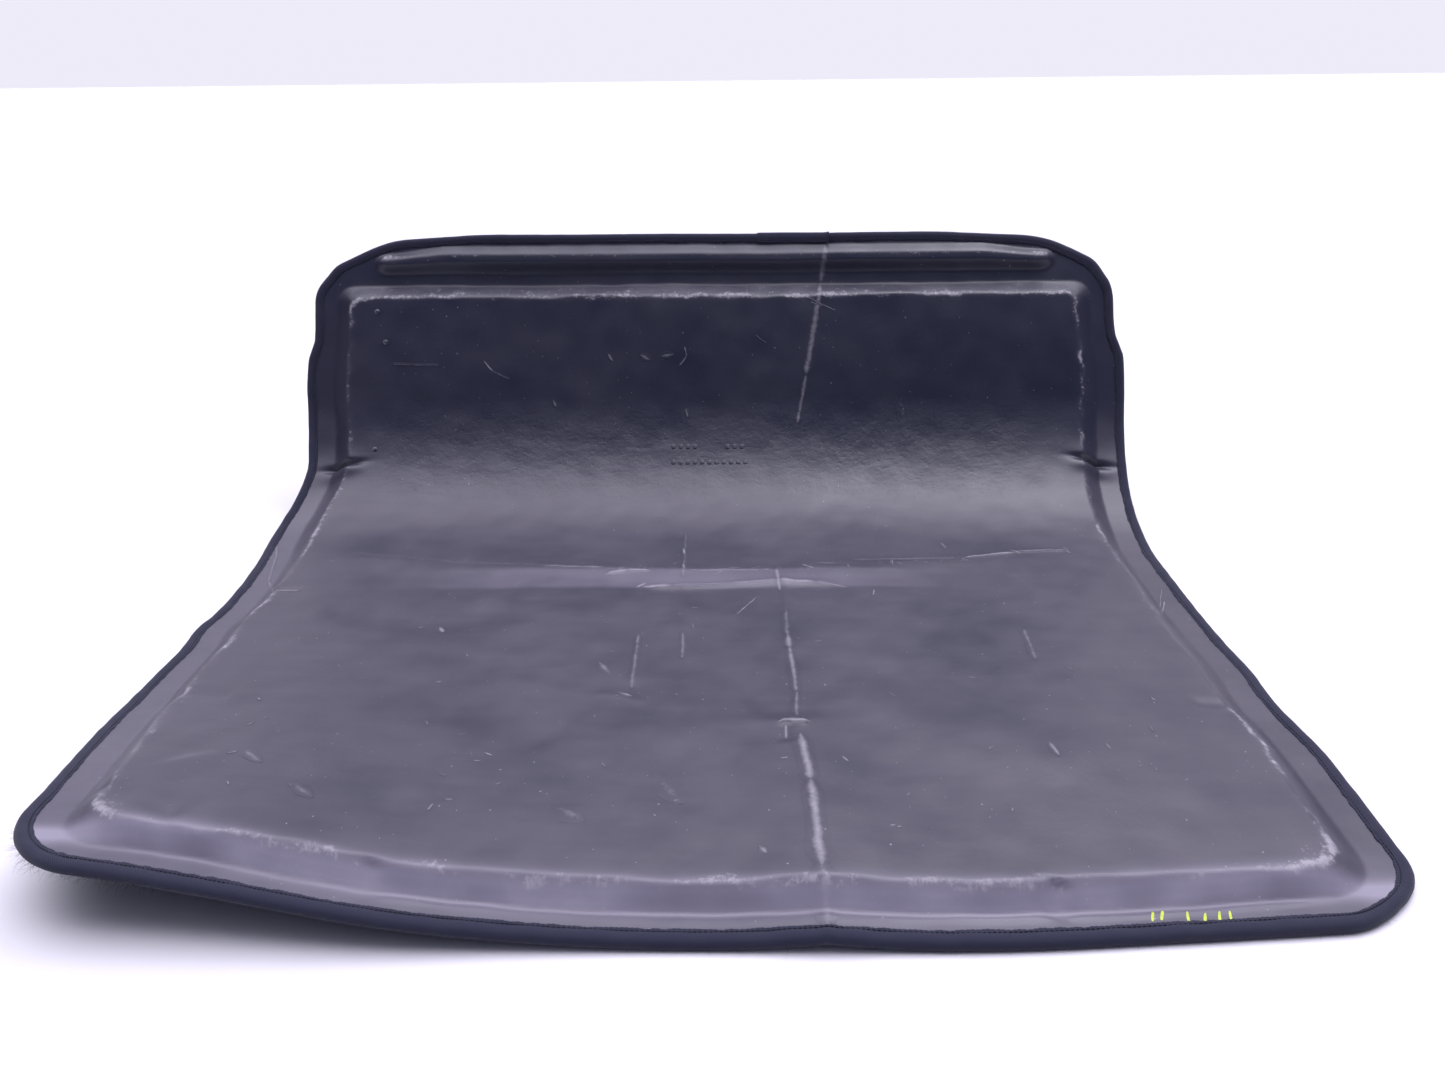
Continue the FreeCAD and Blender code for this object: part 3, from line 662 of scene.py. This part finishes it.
def sheetGrid(spacing):
    half = liner["halfWidth"] + fineStretches["inset"]
    across, along = np.meshgrid(
        gridLines(-half, half, spacing["coarse"], spacing["fine"], fineStretches["across"]),
        gridLines(0.0, linerLength, spacing["coarse"], spacing["fine"], fineStretches["along"],
                  always=(middleOfBend,)))
    keep = insideDistance(across, along, outerLoop) > fineStretches["inset"]
    index = np.arange(across.size).reshape(across.shape)
    whole = keep[:-1, :-1] & keep[1:, :-1] & keep[1:, 1:] & keep[:-1, 1:]
    cells = quadsOf(index)[whole]
    used, renumbered = np.unique(cells, return_inverse=True)
    return across.ravel()[used], along.ravel()[used], renumbered.reshape(cells.shape)


def splitAtBend(along, cells):                  # the part in front of the middle of the bend, and the rest
    middle = along[cells].mean(axis=1)
    for cellsHere in (cells[middle < middleOfBend], cells[middle > middleOfBend]):
        used, renumbered = np.unique(cellsHere, return_inverse=True)
        yield used, renumbered.reshape(cellsHere.shape)


bendStart = Vector(shapedPoint(0.0, liner["floorLength"] - 0.03, 0.008).tolist())
bendMiddle = Vector(shapedPoint(0.0, middleOfBend, 0.008).tolist())
bendFinish = Vector(shapedPoint(0.0, 2 * middleOfBend - liner["floorLength"] + 0.03, 0.008).tolist())


def followFold(piece, part):
    if part == "front":
        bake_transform(piece)
    else:
        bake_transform(piece)
    return piece


rubberMesh = {"coarse": 0.0042, "fine": 0.0020}
wornStretches = {                               # along, how worn the tray's edge is there
    "left": [(0.06, 0.7), (0.11, 0.5), (0.15, 0.25), (0.17, 0.75), (0.22, 0.6), (0.25, 0.25),
             (0.27, 0.9), (0.29, 0.5), (0.33, 0.55), (0.36, 0.3), (0.38, 1.0), (0.40, 0.7), (0.43, 0.2),
             (0.46, 0.8), (0.50, 0.7), (0.52, 0.2), (0.55, 0.5), (0.58, 0.35), (0.60, 0.7), (0.69, 0.95),
             (0.76, 1.0), (0.78, 0.5), (0.80, 0.4), (0.83, 0.55), (0.86, 0.3), (0.93, 0.35), (0.96, 0.5),
             (0.99, 0.25), (1.02, 0.9)],
    "right": [(0.06, 1.0), (0.09, 0.9), (0.12, 0.5), (0.15, 0.3), (0.18, 0.8), (0.20, 0.6), (0.24, 0.9),
              (0.28, 0.3), (0.40, 0.2), (0.44, 0.5), (0.52, 0.4), (0.60, 0.5), (0.66, 0.45), (0.69, 0.2),
              (0.78, 0.3), (0.83, 0.6), (0.87, 0.3), (0.90, 0.5), (0.95, 0.75), (0.98, 0.35), (1.02, 1.0)],
    "front": [(-0.48, 0.5), (-0.42, 0.3), (-0.36, 0.45), (-0.28, 0.75), (-0.24, 0.3), (-0.20, 0.6),
              (-0.14, 0.35), (-0.10, 0.55), (0.0, 0.4), (0.06, 0.7), (0.12, 0.5), (0.20, 0.7),
              (0.26, 0.75), (0.30, 0.3), (0.40, 0.4), (0.47, 0.95)],
}


wearLook = {
    "insideWidth": 0.0050, "wallWidth": 0.0034, "patches": 0.22, "rearEdge": 0.66, "rearPatches": 0.30,
    "frontCorners": 0.42, "ribEnds": 0.55, "ribCrest": 0.34, "rearWall": 0.30,
}
# dust amounts; frontWall and rearWall also paint light onto those walls
dustAndLightLook = {
    "border": 0.14, "frontWall": 0.95, "sides": 0.14, "cleanerRight": 0.17, "creaseBand": 0.31,
    "cleanPanel": 0.88, "rearWall": 0.62,
}


def edgeWearAmount(across, along):              # how far the rubber is bared, 0 to 1.2
    outward = np.abs(across)
    apart = insideDistance(across, along, topLoop) + 0.002 + 0.0022 * ripple(across, along, 0.035, 43)
    width = np.where(apart > 0, wearLook["insideWidth"], wearLook["wallWidth"])
    left, right, front = (np.interp(at, *np.array(wornStretches[side]).T)
                          for at, side in ((along, "left"), (along, "right"), (across, "front")))
    onSide = outward > np.where(along < 0.1, 0.44 + 0.4 * along, 0.40)
    stretch = np.where(onSide, np.where(across < 0, left, right), front)
    rear = wearLook["rearEdge"] + wearLook["rearPatches"] * ripple(across, along, 0.12, 45)
    stretch = np.where(along > 1.02, rear, stretch) + wearLook["patches"] * ripple(across, along, 0.05, 41)
    level = np.exp(-(apart / width) ** 2) * np.clip(stretch, 0.0, 1.1)
    frontCorner = np.exp(-(np.hypot(outward - 0.470, along - 0.072) / 0.020) ** 2)
    level += wearLook["frontCorners"] * frontCorner * (trayRise(across, along) > 0.55)
    ribEnd = np.hypot(outward - 0.440, along - (linerLength - 0.034))
    level += wearLook["ribEnds"] * np.exp(-(ribEnd / 0.011) ** 2)
    crest = np.exp(-((along - (linerLength - 0.033)) / 0.003) ** 2)
    level += wearLook["ribCrest"] * crest * (outward < 0.45)
    rearWall = smoothStep(1.040, 1.048, along) * smoothStep(1.064, 1.052, along)
    return np.clip(level + wearLook["rearWall"] * rearWall * (outward < 0.49), 0, 1.2)


def dustAndLightAmount(across, along):                  # 0 clean, 1 dusty, 2 thick dust; the front wall and rear wall terms add painted light
    outward = np.abs(across)
    frontLine = along - 0.02 * smoothStep(0.20, 0.50, outward)          # follows the bowed front edge
    dustAndLight = 1.0 + dustAndLightLook["border"] * smoothStep(0.062, 0.030, frontLine)
    # painted light: the front wall is made paler for the light that falls on it, on top of its dust
    dustAndLight += dustAndLightLook["frontWall"] * np.exp(-((frontLine - 0.034) / 0.009) ** 2)
    dustAndLight += dustAndLightLook["sides"] * smoothStep(0.49, 0.51, outward)
    dustAndLight -= dustAndLightLook["cleanerRight"] * smoothStep(-0.10, 0.45, across) * smoothStep(0.06, 0.12, along)
    dustAndLight += (dustAndLightLook["creaseBand"] * smoothStep(0.500, 0.512, along) * smoothStep(0.556, 0.544, along)
             * smoothStep(0.42, 0.10, outward))
    dustAndLight -= dustAndLightLook["cleanPanel"] * smoothStep(0.74, 0.86, along)
    # painted highlight: the upward-facing rear wall is made paler as if lit from above
    rearWall = np.exp(-((along - 1.053) / 0.009) ** 2) * smoothStep(0.50, 0.47, outward)
    return dustAndLight * smoothStep(1.3, 0.9, along) + dustAndLightLook["rearWall"] * rearWall


def crumpleAmount(across, along):               # the pocked rubber in the bend
    inBend = smoothStep(0.70, 0.78, along) * smoothStep(0.92, 0.84, along)
    return inBend * smoothStep(0.50, 0.36, np.abs(across))


def rubberAttributes(across, along):
    return {"edgeWear": edgeWearAmount(across, along), "dustAndLight": dustAndLightAmount(across, along),
            "crumple": crumpleAmount(across, along)}


def makeRubber():
    across, along, cells = sheetGrid(rubberMesh)
    points = shapedPoint(across, along, rubberHeight(across, along))
    pieces = []
    for part, (used, faces) in zip(("front", "rear"), splitAtBend(along, cells)):
        piece = meshPiece("rubberBacking." + part, points[used], faces, rubber,
                          uv=np.stack((across[used], along[used]), -1),
                          attributes=rubberAttributes(across[used], along[used]))
        pieces.append(followFold(piece, part))
    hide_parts("floor_backing")
    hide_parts("bend_backing", "rear_backing")
    return pieces


rubberFront, rubberRear = makeRubber()


def makeScuffs(part):                           # fine-meshed strips of the same rubber that carry the marks
    allPoints, allFaces, allUv, allMarks = [], [], [], []
    base = 0
    for number, (start, finish, width, strength) in enumerate(scuffs + list(scatterNicks())):
        if (start[1] + finish[1] > 2 * middleOfBend) != (part == "rear"):
            continue
        start, finish = np.array(start), np.array(finish)
        length = np.linalg.norm(finish - start)
        heading = (finish - start) / length
        steps = np.linspace(-0.8 * width, length + 0.8 * width, max(8, int(length / 0.0013)))
        run, offset = np.meshgrid(steps, np.linspace(-2.1, 2.1, 15), indexing="ij")
        inward = np.minimum(run + 0.8 * width, length + 0.8 * width - run)
        taper = np.clip(inward / (3.0 * width), 0.0, 1.0) ** 0.6
        ragged = 1 + 0.14 * ripple(run, 0.0, 12 * width + 0.010, number)
        wobble = 0.0004 * ripple(run, 0.0, 0.025, 90 + number)
        sideways = width * offset * np.maximum(taper * ragged, 0.15) + wobble
        across = start[0] + heading[0] * run - heading[1] * sideways
        along = start[1] + heading[1] * run + heading[0] * sideways
        proud = 0.00022 + 0.00001 * (number % 9) - 0.00012 * (np.abs(offset) > 1.9)
        soft = 0.78 * np.exp(-(offset / 0.62) ** 2) + 0.26 * np.exp(-(offset / 1.15) ** 2)
        mark = strength * soft * smoothStep(2.0, 1.5, np.abs(offset)) * (0.2 + 0.8 * taper)
        allPoints.append(shapedPoint(across, along, rubberHeight(across, along) + proud).reshape(-1, 3))
        allUv.append(np.stack((across, along), -1).reshape(-1, 2))
        allMarks.append(mark.ravel())
        index = base + np.arange(across.size).reshape(across.shape)
        allFaces.append(quadsOf(index.T).reshape(-1, 4))
        base += across.size
    uv = np.concatenate(allUv)
    attributes = rubberAttributes(uv[:, 0], uv[:, 1])
    attributes["mark"] = np.concatenate(allMarks)
    piece = meshPiece("scuffMarks." + part, np.concatenate(allPoints), np.concatenate(allFaces), rubber,
                      uv=uv, attributes=attributes)
    return followFold(piece, part)


makeScuffs("front")
makeScuffs("rear")
print("rubber backing made", len(rubberFront.data.vertices) + len(rubberRear.data.vertices))


carpetMesh = {"coarse": 0.0060, "fine": 0.0034, "tufts": 0.0005}


def makeCarpet():
    across, along, cells = sheetGrid(carpetMesh)
    tufted = carpetMesh["tufts"] * np.random.default_rng(7).random(across.shape)
    height = rubberHeight(across, along) - sheetThickness + tufted
    points = shapedPoint(across, along, np.maximum(height, 0.0004))
    pieces = []
    for part, (used, faces) in zip(("front", "rear"), splitAtBend(along, cells)):
        piece = meshPiece("carpetFace." + part, points[used], faces[:, ::-1], felt,
                          uv=np.stack((across[used], along[used]), -1))
        pieces.append(followFold(piece, part))
    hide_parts("floor_carpet")
    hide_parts("bend_carpet", "rear_carpet")
    return pieces


carpetFront, carpetRear = makeCarpet()
print("carpet made")


binding = {
    "reach": 0.0130, "thickness": 0.0012, "step": 0.0012, "pitch": 0.0037, "seam": 0.0105,
    "scallop": 0.00035,
}


def edgeRun(part, step):                        # evenly spaced points along the edge, and inward directions
    loop = np.concatenate((outerLoop, outerLoop[:1]))
    lengths = runLengths(loop)
    dense = np.linspace(0, lengths[-1], int(lengths[-1] / 0.0004), endpoint=False)
    path = np.stack([np.interp(dense, lengths, loop[:, k]) for k in (0, 1)], -1)
    right = np.argmin(np.hypot(path[:, 0] - liner["halfWidth"], path[:, 1] - middleOfBend))
    path = np.roll(path, -right, axis=0)        # starts on the right, runs round the rear first
    left = np.argmin(np.hypot(path[:, 0] + liner["halfWidth"], path[:, 1] - middleOfBend))
    path = path[:left + 1] if part == "rear" else np.concatenate((path[left:], path[:1]))
    path[0, 1] = path[-1, 1] = middleOfBend
    run = runLengths(path)
    stations = np.linspace(0, run[-1], int(run[-1] / step) + 1)
    points = np.stack([np.interp(stations, run, path[:, k]) for k in (0, 1)], -1)
    heading = np.gradient(points, axis=0)
    heading /= np.linalg.norm(heading, axis=1)[:, None]
    inward = np.stack((-heading[:, 1], heading[:, 0]), -1)
    return points, inward, heading, stations


def tapeProfile():                              # inset from the edge, height above the carpet face
    top, reach = sheetThickness + binding["thickness"], binding["reach"]
    return np.array([
        (reach + 0.0003, sheetThickness - 0.0006), (reach + 0.0002, sheetThickness + 0.0006),
        (reach - 0.0006, top - 0.0001), (binding["seam"], top - 0.0004), (reach - 0.0045, top + 0.0001),
        (0.0060, top + 0.0004), (0.0034, top + 0.0001), (0.0015, top - 0.0010), (0.0003, top - 0.0028),
        (-0.0002, 0.0046), (0.0002, 0.0024), (0.0012, 0.0009), (0.0034, 0.0001), (0.0070, 0.0),
        (reach - 0.0006, 0.0001), (reach + 0.0002, 0.0010), (reach + 0.0002, 0.0022)])


def placeTape(points, inward, inset, above):
    across = points[:, None, 0] + inward[:, None, 0] * inset
    along = points[:, None, 1] + inward[:, None, 1] * inset
    return shapedPoint(across, along, above).reshape(-1, 3)


def tapeLayout(stations, profile):              # flat layout for the weave: along the tape and round it
    return np.stack(np.broadcast_arrays(stations[:, None], runLengths(profile)), -1).reshape(-1, 2)


def makeTape(part):
    points, inward, _, stations = edgeRun(part, binding["step"])
    profile = tapeProfile()
    wobble = 0.0005 * ripple(stations, 0.0, 0.05, 51) + 0.0004 * ripple(stations, 0.0, 0.012, 52)
    scallop = binding["scallop"] * np.cos(2 * math.pi * stations / binding["pitch"])
    inset = profile[None, :, 0] + np.zeros((len(points), 1))
    inset[:, :3] += (wobble + scallop)[:, None]
    inset[:, -3:] += (wobble + scallop)[:, None]
    above = profile[None, :, 1] + np.zeros((len(points), 1))
    above[:, 3:9] += 0.00035 * ripple(stations, 0.0, 0.03, 53)[:, None]
    above[:, 3] -= 0.0002 + 0.0002 * np.cos(2 * math.pi * stations / binding["pitch"])      # seam groove
    faces = quadsOf(np.arange(inset.size).reshape(inset.shape)).reshape(-1, 4)
    piece = meshPiece("edgeTape." + part, placeTape(points, inward, inset, above), faces, tape,
                      uv=tapeLayout(stations, profile), uvName="tapeRun")
    return followFold(piece, part)


tapeFront, tapeRear = makeTape("front"), makeTape("rear")
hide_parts("floor_binding")
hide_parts("bend_binding_left", "bend_binding_right", "rear_binding")
print("edge tape made")

tail = {"left": 0.062, "right": 0.162, "lift": 0.0011, "curl": 0.0028}


def underTail(points):
    return (points[:, 0] > tail["left"]) & (points[:, 0] < tail["right"]) & (points[:, 1] > 1.0)


def makeTail():                                 # the tape's end laid over its start on the rear edge
    points, inward, _, stations = edgeRun("rear", binding["step"])
    here = underTail(points)
    points, inward, stations = points[here], inward[here], stations[here]
    profile = tapeProfile()[1:14]
    profile[:, 0] += np.where(profile[:, 0] < 0.004, -0.0010, 0.0004)
    share = (points[:, 0] - tail["left"]) / (tail["right"] - tail["left"])
    raised = tail["lift"] * smoothStep(0.0, 0.06, share) + tail["curl"] * smoothStep(0.90, 1.0, share) ** 2
    upper = smoothStep(0.0, 0.006, profile[:, 1])
    inset = profile[None, :, 0] + 0.0008 * smoothStep(0.3, 1.0, share)[:, None]
    above = profile[None, :, 1] + raised[:, None] * upper[None, :]
    outer = placeTape(points, inward, inset, above)
    inner = placeTape(points, inward, inset, above - 0.0010 * upper)
    top = np.arange(inset.size).reshape(inset.shape)
    under = top + inset.size
    faces = [quadsOf(top), quadsOf(under.T)]
    for rim in ((top[0], under[0]), (under[-1], top[-1]),
                (under[:, 0], top[:, 0]), (top[:, -1], under[:, -1])):
        faces.append(quadsOf(np.stack(rim)))
    layout = tapeLayout(stations, profile)
    piece = meshPiece("edgeTape.tail", np.concatenate((outer, inner)),
                      np.concatenate([quads.reshape(-1, 4) for quads in faces]), tape,
                      uv=np.concatenate((layout, layout)), uvName="tapeRun")
    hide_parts("binding_tail")
    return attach(piece, "rear")


makeTail()


stitching = {"length": 0.0027, "thickness": 0.00042}


def makeStitches(part):
    points, inward, heading, _ = edgeRun(part, binding["pitch"])
    points, inward, heading = points[1:-1], inward[1:-1], heading[1:-1]
    rings = [(-0.5, 0.35, -0.4), (-0.3, 1.0, 0.5), (0.0, 1.15, 0.8), (0.3, 1.0, 0.5), (0.5, 0.35, -0.4)]
    sides = 6
    top = sheetThickness + binding["thickness"] - 0.0004
    covered = underTail(points)
    seam = points + inward * binding["seam"]
    count = len(points)
    allPoints, allFaces = [], []
    base = 0
    for level, direction, extra in ((top, 1.0, tail["lift"]), (0.0004, -1.0, 0.0)):
        above = level + np.where(covered, extra, 0.0)
        for along, girth, proud in rings:
            for side in range(sides):
                angle = 2 * math.pi * side / sides
                offset = stitching["thickness"] * girth * math.cos(angle)
                rise = stitching["thickness"] * (girth * math.sin(angle) + proud) * direction
                place = seam + heading * (along * stitching["length"]) + inward * offset
                allPoints.append(shapedPoint(place[:, 0], place[:, 1], above + rise))
        for ring in range(len(rings) - 1):
            for side in range(sides):
                a, b = ring * sides + side, ring * sides + (side + 1) % sides
                corners = np.array((a, b, b + sides, a + sides))[::int(direction)]
                allFaces.append(base + np.arange(count)[:, None] + corners * count)
        base += len(rings) * sides * count
    piece = meshPiece("seamThread." + part, np.concatenate(allPoints), np.concatenate(allFaces), thread)
    return followFold(piece, part)


threadFront, threadRear = makeStitches("front"), makeStitches("rear")
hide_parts("floor_stitches")
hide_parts("bend_stitches", "rear_stitches")
print("seam made")


moulded = {
    "pips": [(-0.452, 1.020), (-0.440, 0.978), (-0.452, 0.822)],
    "pipRadius": 0.0038, "pipHeight": 0.0016,
    "barRows": [(0.801, -0.050, 11), (0.826, -0.050, 4), (0.826, 0.022, 3)],    # along, first bar, bars
    "barPitch": 0.0096, "barHalf": (0.0031, 0.0042), "barHeight": 0.0007,
}


def raisedPads(name, places, halves, height, worn, rings=5, sides=20):
    allPoints, allFaces, allUv = [], [], []
    for number, (centreAcross, centreAlong) in enumerate(places):
        base = number * (rings * sides + 1)
        angle = np.linspace(0, 2 * math.pi, sides, endpoint=False)
        square = (np.abs(np.cos(angle)) ** 4 + np.abs(np.sin(angle)) ** 4) ** -0.25
        square = square if halves[0] != halves[1] else 1.0
        for ring in range(rings):
            share = 1 - ring / rings
            profile = math.sqrt(max(0.0, 1 - share ** 3)) if ring else -0.35
            across = centreAcross + halves[0] * share * square * np.cos(angle)
            along = centreAlong + halves[1] * share * square * np.sin(angle)
            allPoints.append(shapedPoint(across, along, rubberHeight(across, along) + height * profile))
            allUv.append(np.stack((across, along), -1))
        middle = (np.array([centreAcross]), np.array([centreAlong]))
        allPoints.append(shapedPoint(*middle, rubberHeight(*middle) + height))
        allUv.append(np.stack(middle, -1))
        tip = base + rings * sides
        for ring in range(rings):
            for side in range(sides):
                a, b = (base + ring * sides + (side + k) % sides for k in (0, 1))
                if ring < rings - 1:
                    allFaces += [(a, b, b + sides), (a, b + sides, a + sides)]
                else:
                    allFaces.append((a, b, tip))
    uv = np.concatenate(allUv)
    piece = meshPiece(name, np.concatenate(allPoints), allFaces, rubber, uv=uv,
                      attributes={"edgeWear": np.full(len(uv), worn)})
    return followFold(piece, "rear")


raisedPads("locatingPips", moulded["pips"], (moulded["pipRadius"],) * 2, moulded["pipHeight"], 0.62)
barPlaces = [(first + number * moulded["barPitch"], along)
             for along, first, count in moulded["barRows"] for number in range(count)]
raisedPads("mouldedBars", barPlaces, moulded["barHalf"], moulded["barHeight"], 0.20, rings=4, sides=16)
print("pips and bars made", len(moulded["pips"]) + len(barPlaces))


ticks = {"places": [0.334, 0.341, 0.359, 0.371, 0.382, 0.390], "along": 0.0275, "length": 0.0088,
         "width": 0.0009}


def makeTicks():
    allPoints, allFaces = [], []
    steps = np.linspace(-0.5, 0.5, 9)
    for number, across in enumerate(ticks["places"]):
        lean = 0.35 + 0.12 * math.sin(number * 2.3)
        line = np.stack((across + steps * ticks["length"] * lean,
                         ticks["along"] + 0.001 * math.sin(number * 1.7) + steps * ticks["length"]), -1)
        widths = ticks["width"] * (0.55 + 0.5 * np.sqrt(np.clip(1 - (2 * steps) ** 2, 0, 1)))
        base = number * len(steps) * 3
        for sideways, lift in ((-1, 0.00004), (0, 0.00022), (1, 0.00004)):
            x, y = line[:, 0] + sideways * widths, line[:, 1] - sideways * widths * lean
            allPoints.append(shapedPoint(x, y, rubberHeight(x, y) + lift))
        for strip in range(2):
            for k in range(len(steps) - 1):
                a = base + strip * len(steps) + k
                allFaces.append((a, a + len(steps), a + len(steps) + 1, a + 1))
    piece = meshPiece("paintTicks", np.concatenate(allPoints), allFaces, paint)
    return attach(piece, "floor")


makeTicks()

fibres = {"corner": 260, "edge": 200, "length": (0.004, 0.013), "thickness": 0.00010}


def makeFibres():                               # carpet fibres standing out under the edge
    generator = np.random.default_rng(19)
    points, inward, _, _ = edgeRun("front", 0.002)
    nearCorner = np.flatnonzero((points[:, 0] < -0.40) & (points[:, 1] < 0.16))
    front = np.flatnonzero(points[:, 1] < 0.30)
    chosen = np.concatenate((generator.choice(nearCorner, fibres["corner"]),
                             generator.choice(front, fibres["edge"])))
    allPoints, allFaces = [], []
    for number, k in enumerate(chosen):
        root = points[k] + inward[k] * generator.uniform(0.0005, 0.008)
        start = shapedPoint(root[0], root[1], generator.uniform(0.0002, 0.0030))
        out = Vector((*-inward[k], 0)) + Vector((generator.normal(0, 0.5), generator.normal(0, 0.5), 0))
        out.normalize()
        length = generator.uniform(*fibres["length"]) * (1.0 if number < fibres["corner"] else 0.55)
        droop, twist = generator.uniform(-0.2, 0.5), generator.uniform(-0.6, 0.6)
        side = Vector((-out.y, out.x, 0))
        base = len(allPoints)
        for step in range(5):
            t = step / 4
            centre = Vector(start.tolist()) + out * length * t + side * twist * length * t * t
            centre.z += -droop * length * t * t + 0.15 * length * t
            centre.z = max(centre.z, 0.0003)
            width = fibres["thickness"] * (1 - 0.6 * t)
            for angle in (0.0, 2.1, 4.2):
                rise = Vector((0, 0, width * math.sin(angle)))
                allPoints.append(centre + side * width * math.cos(angle) + rise)
        for step in range(4):
            for corner in range(3):
                a, b = base + step * 3 + corner, base + step * 3 + (corner + 1) % 3
                allFaces.append((a, b, b + 3, a + 3))
    piece = meshPiece("looseFibres", [tuple(p) for p in allPoints], allFaces, felt)
    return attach(piece, "floor")


makeFibres()
print("paint ticks and loose fibres made")


studio = {
    "floorHalf": 30.0, "floorColour": (0.70, 0.69, 0.73),
    "frontLow": 0.19, "frontHigh": 0.62, "overhead": 5.20, "back": 0.95, "side": 0.22,
    "frontRamp": (36, 62), "backRamp": (74, 100), "overheadStart": (70, 86), "overheadEnd": (134, 116),
    "frontTint": (0.62, 0.66, 1.0), "tint": (0.905, 0.88, 1.0),
    "key": {"place": (0.8, 0.8, 2.3), "towards": (0.0, 0.1, 0.1), "size": (0.9, 0.7), "power": 9.0,
            "colour": (1.0, 0.985, 1.0)},
}


def makeFloor():
    half = studio["floorHalf"]
    lines = np.linspace(-half, half, 25)
    x, y = np.meshgrid(lines, lines)
    points = np.stack((x.ravel(), y.ravel(), np.full(x.size, -0.0006)), -1)
    index = np.arange(x.size).reshape(x.shape)
    material, tree, shader = newMaterial("paleFloor")
    place = addNode(tree, "ShaderNodeTexCoord").outputs["Object"]
    soft = grain(tree, place, 3.0, 3.0)
    tint = studio["floorColour"]
    colour = blendColours(tree, soft, tuple(0.97 * level for level in tint), tint)
    tree.links.new(colour, shader.inputs["Base Color"])
    shader.inputs["Roughness"].default_value = 0.6
    piece = meshPiece("studioFloor", points, quadsOf(index).reshape(-1, 4), material)
    return piece


def makeSky():                                  # light by direction: dim low in front, bright overhead
    world = bpy.data.worlds.new("studioRoom")
    bpy.context.scene.world = world
    world.use_nodes = True
    tree = world.node_tree
    facing = addNode(tree, "ShaderNodeTexCoord").outputs["Generated"]
    parts = addNode(tree, "ShaderNodeSeparateXYZ", {"Vector": facing}).outputs
    upward = arithmetic(tree, "ABSOLUTE", parts["Z"])
    angle = arithmetic(tree, "ARCTAN2", upward, arithmetic(tree, "MULTIPLY", parts["Y"], -1.0))
    angle = arithmetic(tree, "MULTIPLY", angle, 180 / math.pi)      # 0 in front, 90 overhead, 180 behind
    overhead = arithmetic(tree, "MULTIPLY", rescaled(tree, angle, *studio["overheadStart"]),
                          rescaled(tree, angle, *studio["overheadEnd"]))
    sideways = arithmetic(tree, "ABSOLUTE", parts["X"])
    overhead = arithmetic(tree, "MULTIPLY", overhead, rescaled(tree, sideways, 0.80, 0.50))
    overhead = arithmetic(tree, "MULTIPLY", overhead, rescaled(tree, parts["X"], -0.5, 0.5, 0.64, 1.24))
    overhead = arithmetic(tree, "MULTIPLY", overhead, studio["overhead"] - studio["back"])
    level = rescaled(tree, angle, *studio["frontRamp"], studio["frontLow"], studio["frontHigh"])
    backRise = rescaled(tree, angle, *studio["backRamp"], 0.0, studio["back"] - studio["frontHigh"])
    level = arithmetic(tree, "ADD", arithmetic(tree, "ADD", level, backRise), overhead)
    level = arithmetic(tree, "MULTIPLY", level, rescaled(tree, sideways, 0.60, 0.85, 1.0, studio["side"]))
    background = tree.nodes["Background"]
    tree.links.new(blendColours(tree, rescaled(tree, angle, 40, 80), studio["frontTint"], studio["tint"]),
                   background.inputs["Color"])
    tree.links.new(level, background.inputs["Strength"])


def makeKeyLight():
    key = studio["key"]
    data = bpy.data.lights.new("keyLight", "AREA")
    data.shape, data.size, data.size_y = "RECTANGLE", *key["size"]
    data.energy, data.color = key["power"], key["colour"]
    lamp = bpy.data.objects.new("keyLight", data)
    lamp.location = key["place"]
    aim = Vector(key["towards"]) - Vector(key["place"])
    lamp.rotation_euler = aim.to_track_quat("-Z", "Y").to_euler()
    bpy.context.scene.collection.objects.link(lamp)


camera = {                                      # from the front edge's middle, and where it looks
    "place": (0.0413, -0.5519, 0.5695), "tilt": 24.641, "turn": 1.164, "roll": -0.649, "lens": 26.322,
}


def makeCamera():
    data = bpy.data.cameras.new("viewingCamera")
    data.lens, data.sensor_width, data.sensor_fit = camera["lens"], 36.0, "HORIZONTAL"
    data.clip_start, data.clip_end = 0.02, 60.0
    viewer = bpy.data.objects.new("viewingCamera", data)
    viewer.location = (camera["place"][0], cadLow.y + camera["place"][1], camera["place"][2])
    aim = Euler((math.radians(90 - camera["tilt"]), 0.0, math.radians(camera["turn"]))).to_matrix()
    viewer.rotation_euler = (aim @ Matrix.Rotation(math.radians(camera["roll"]), 3, "Z")).to_euler()
    bpy.context.scene.collection.objects.link(viewer)
    bpy.context.scene.camera = viewer


makeFloor()
makeSky()
makeKeyLight()
makeCamera()
print("floor, sky, light and camera placed")
bpy.context.scene.view_settings.view_transform = "Standard"
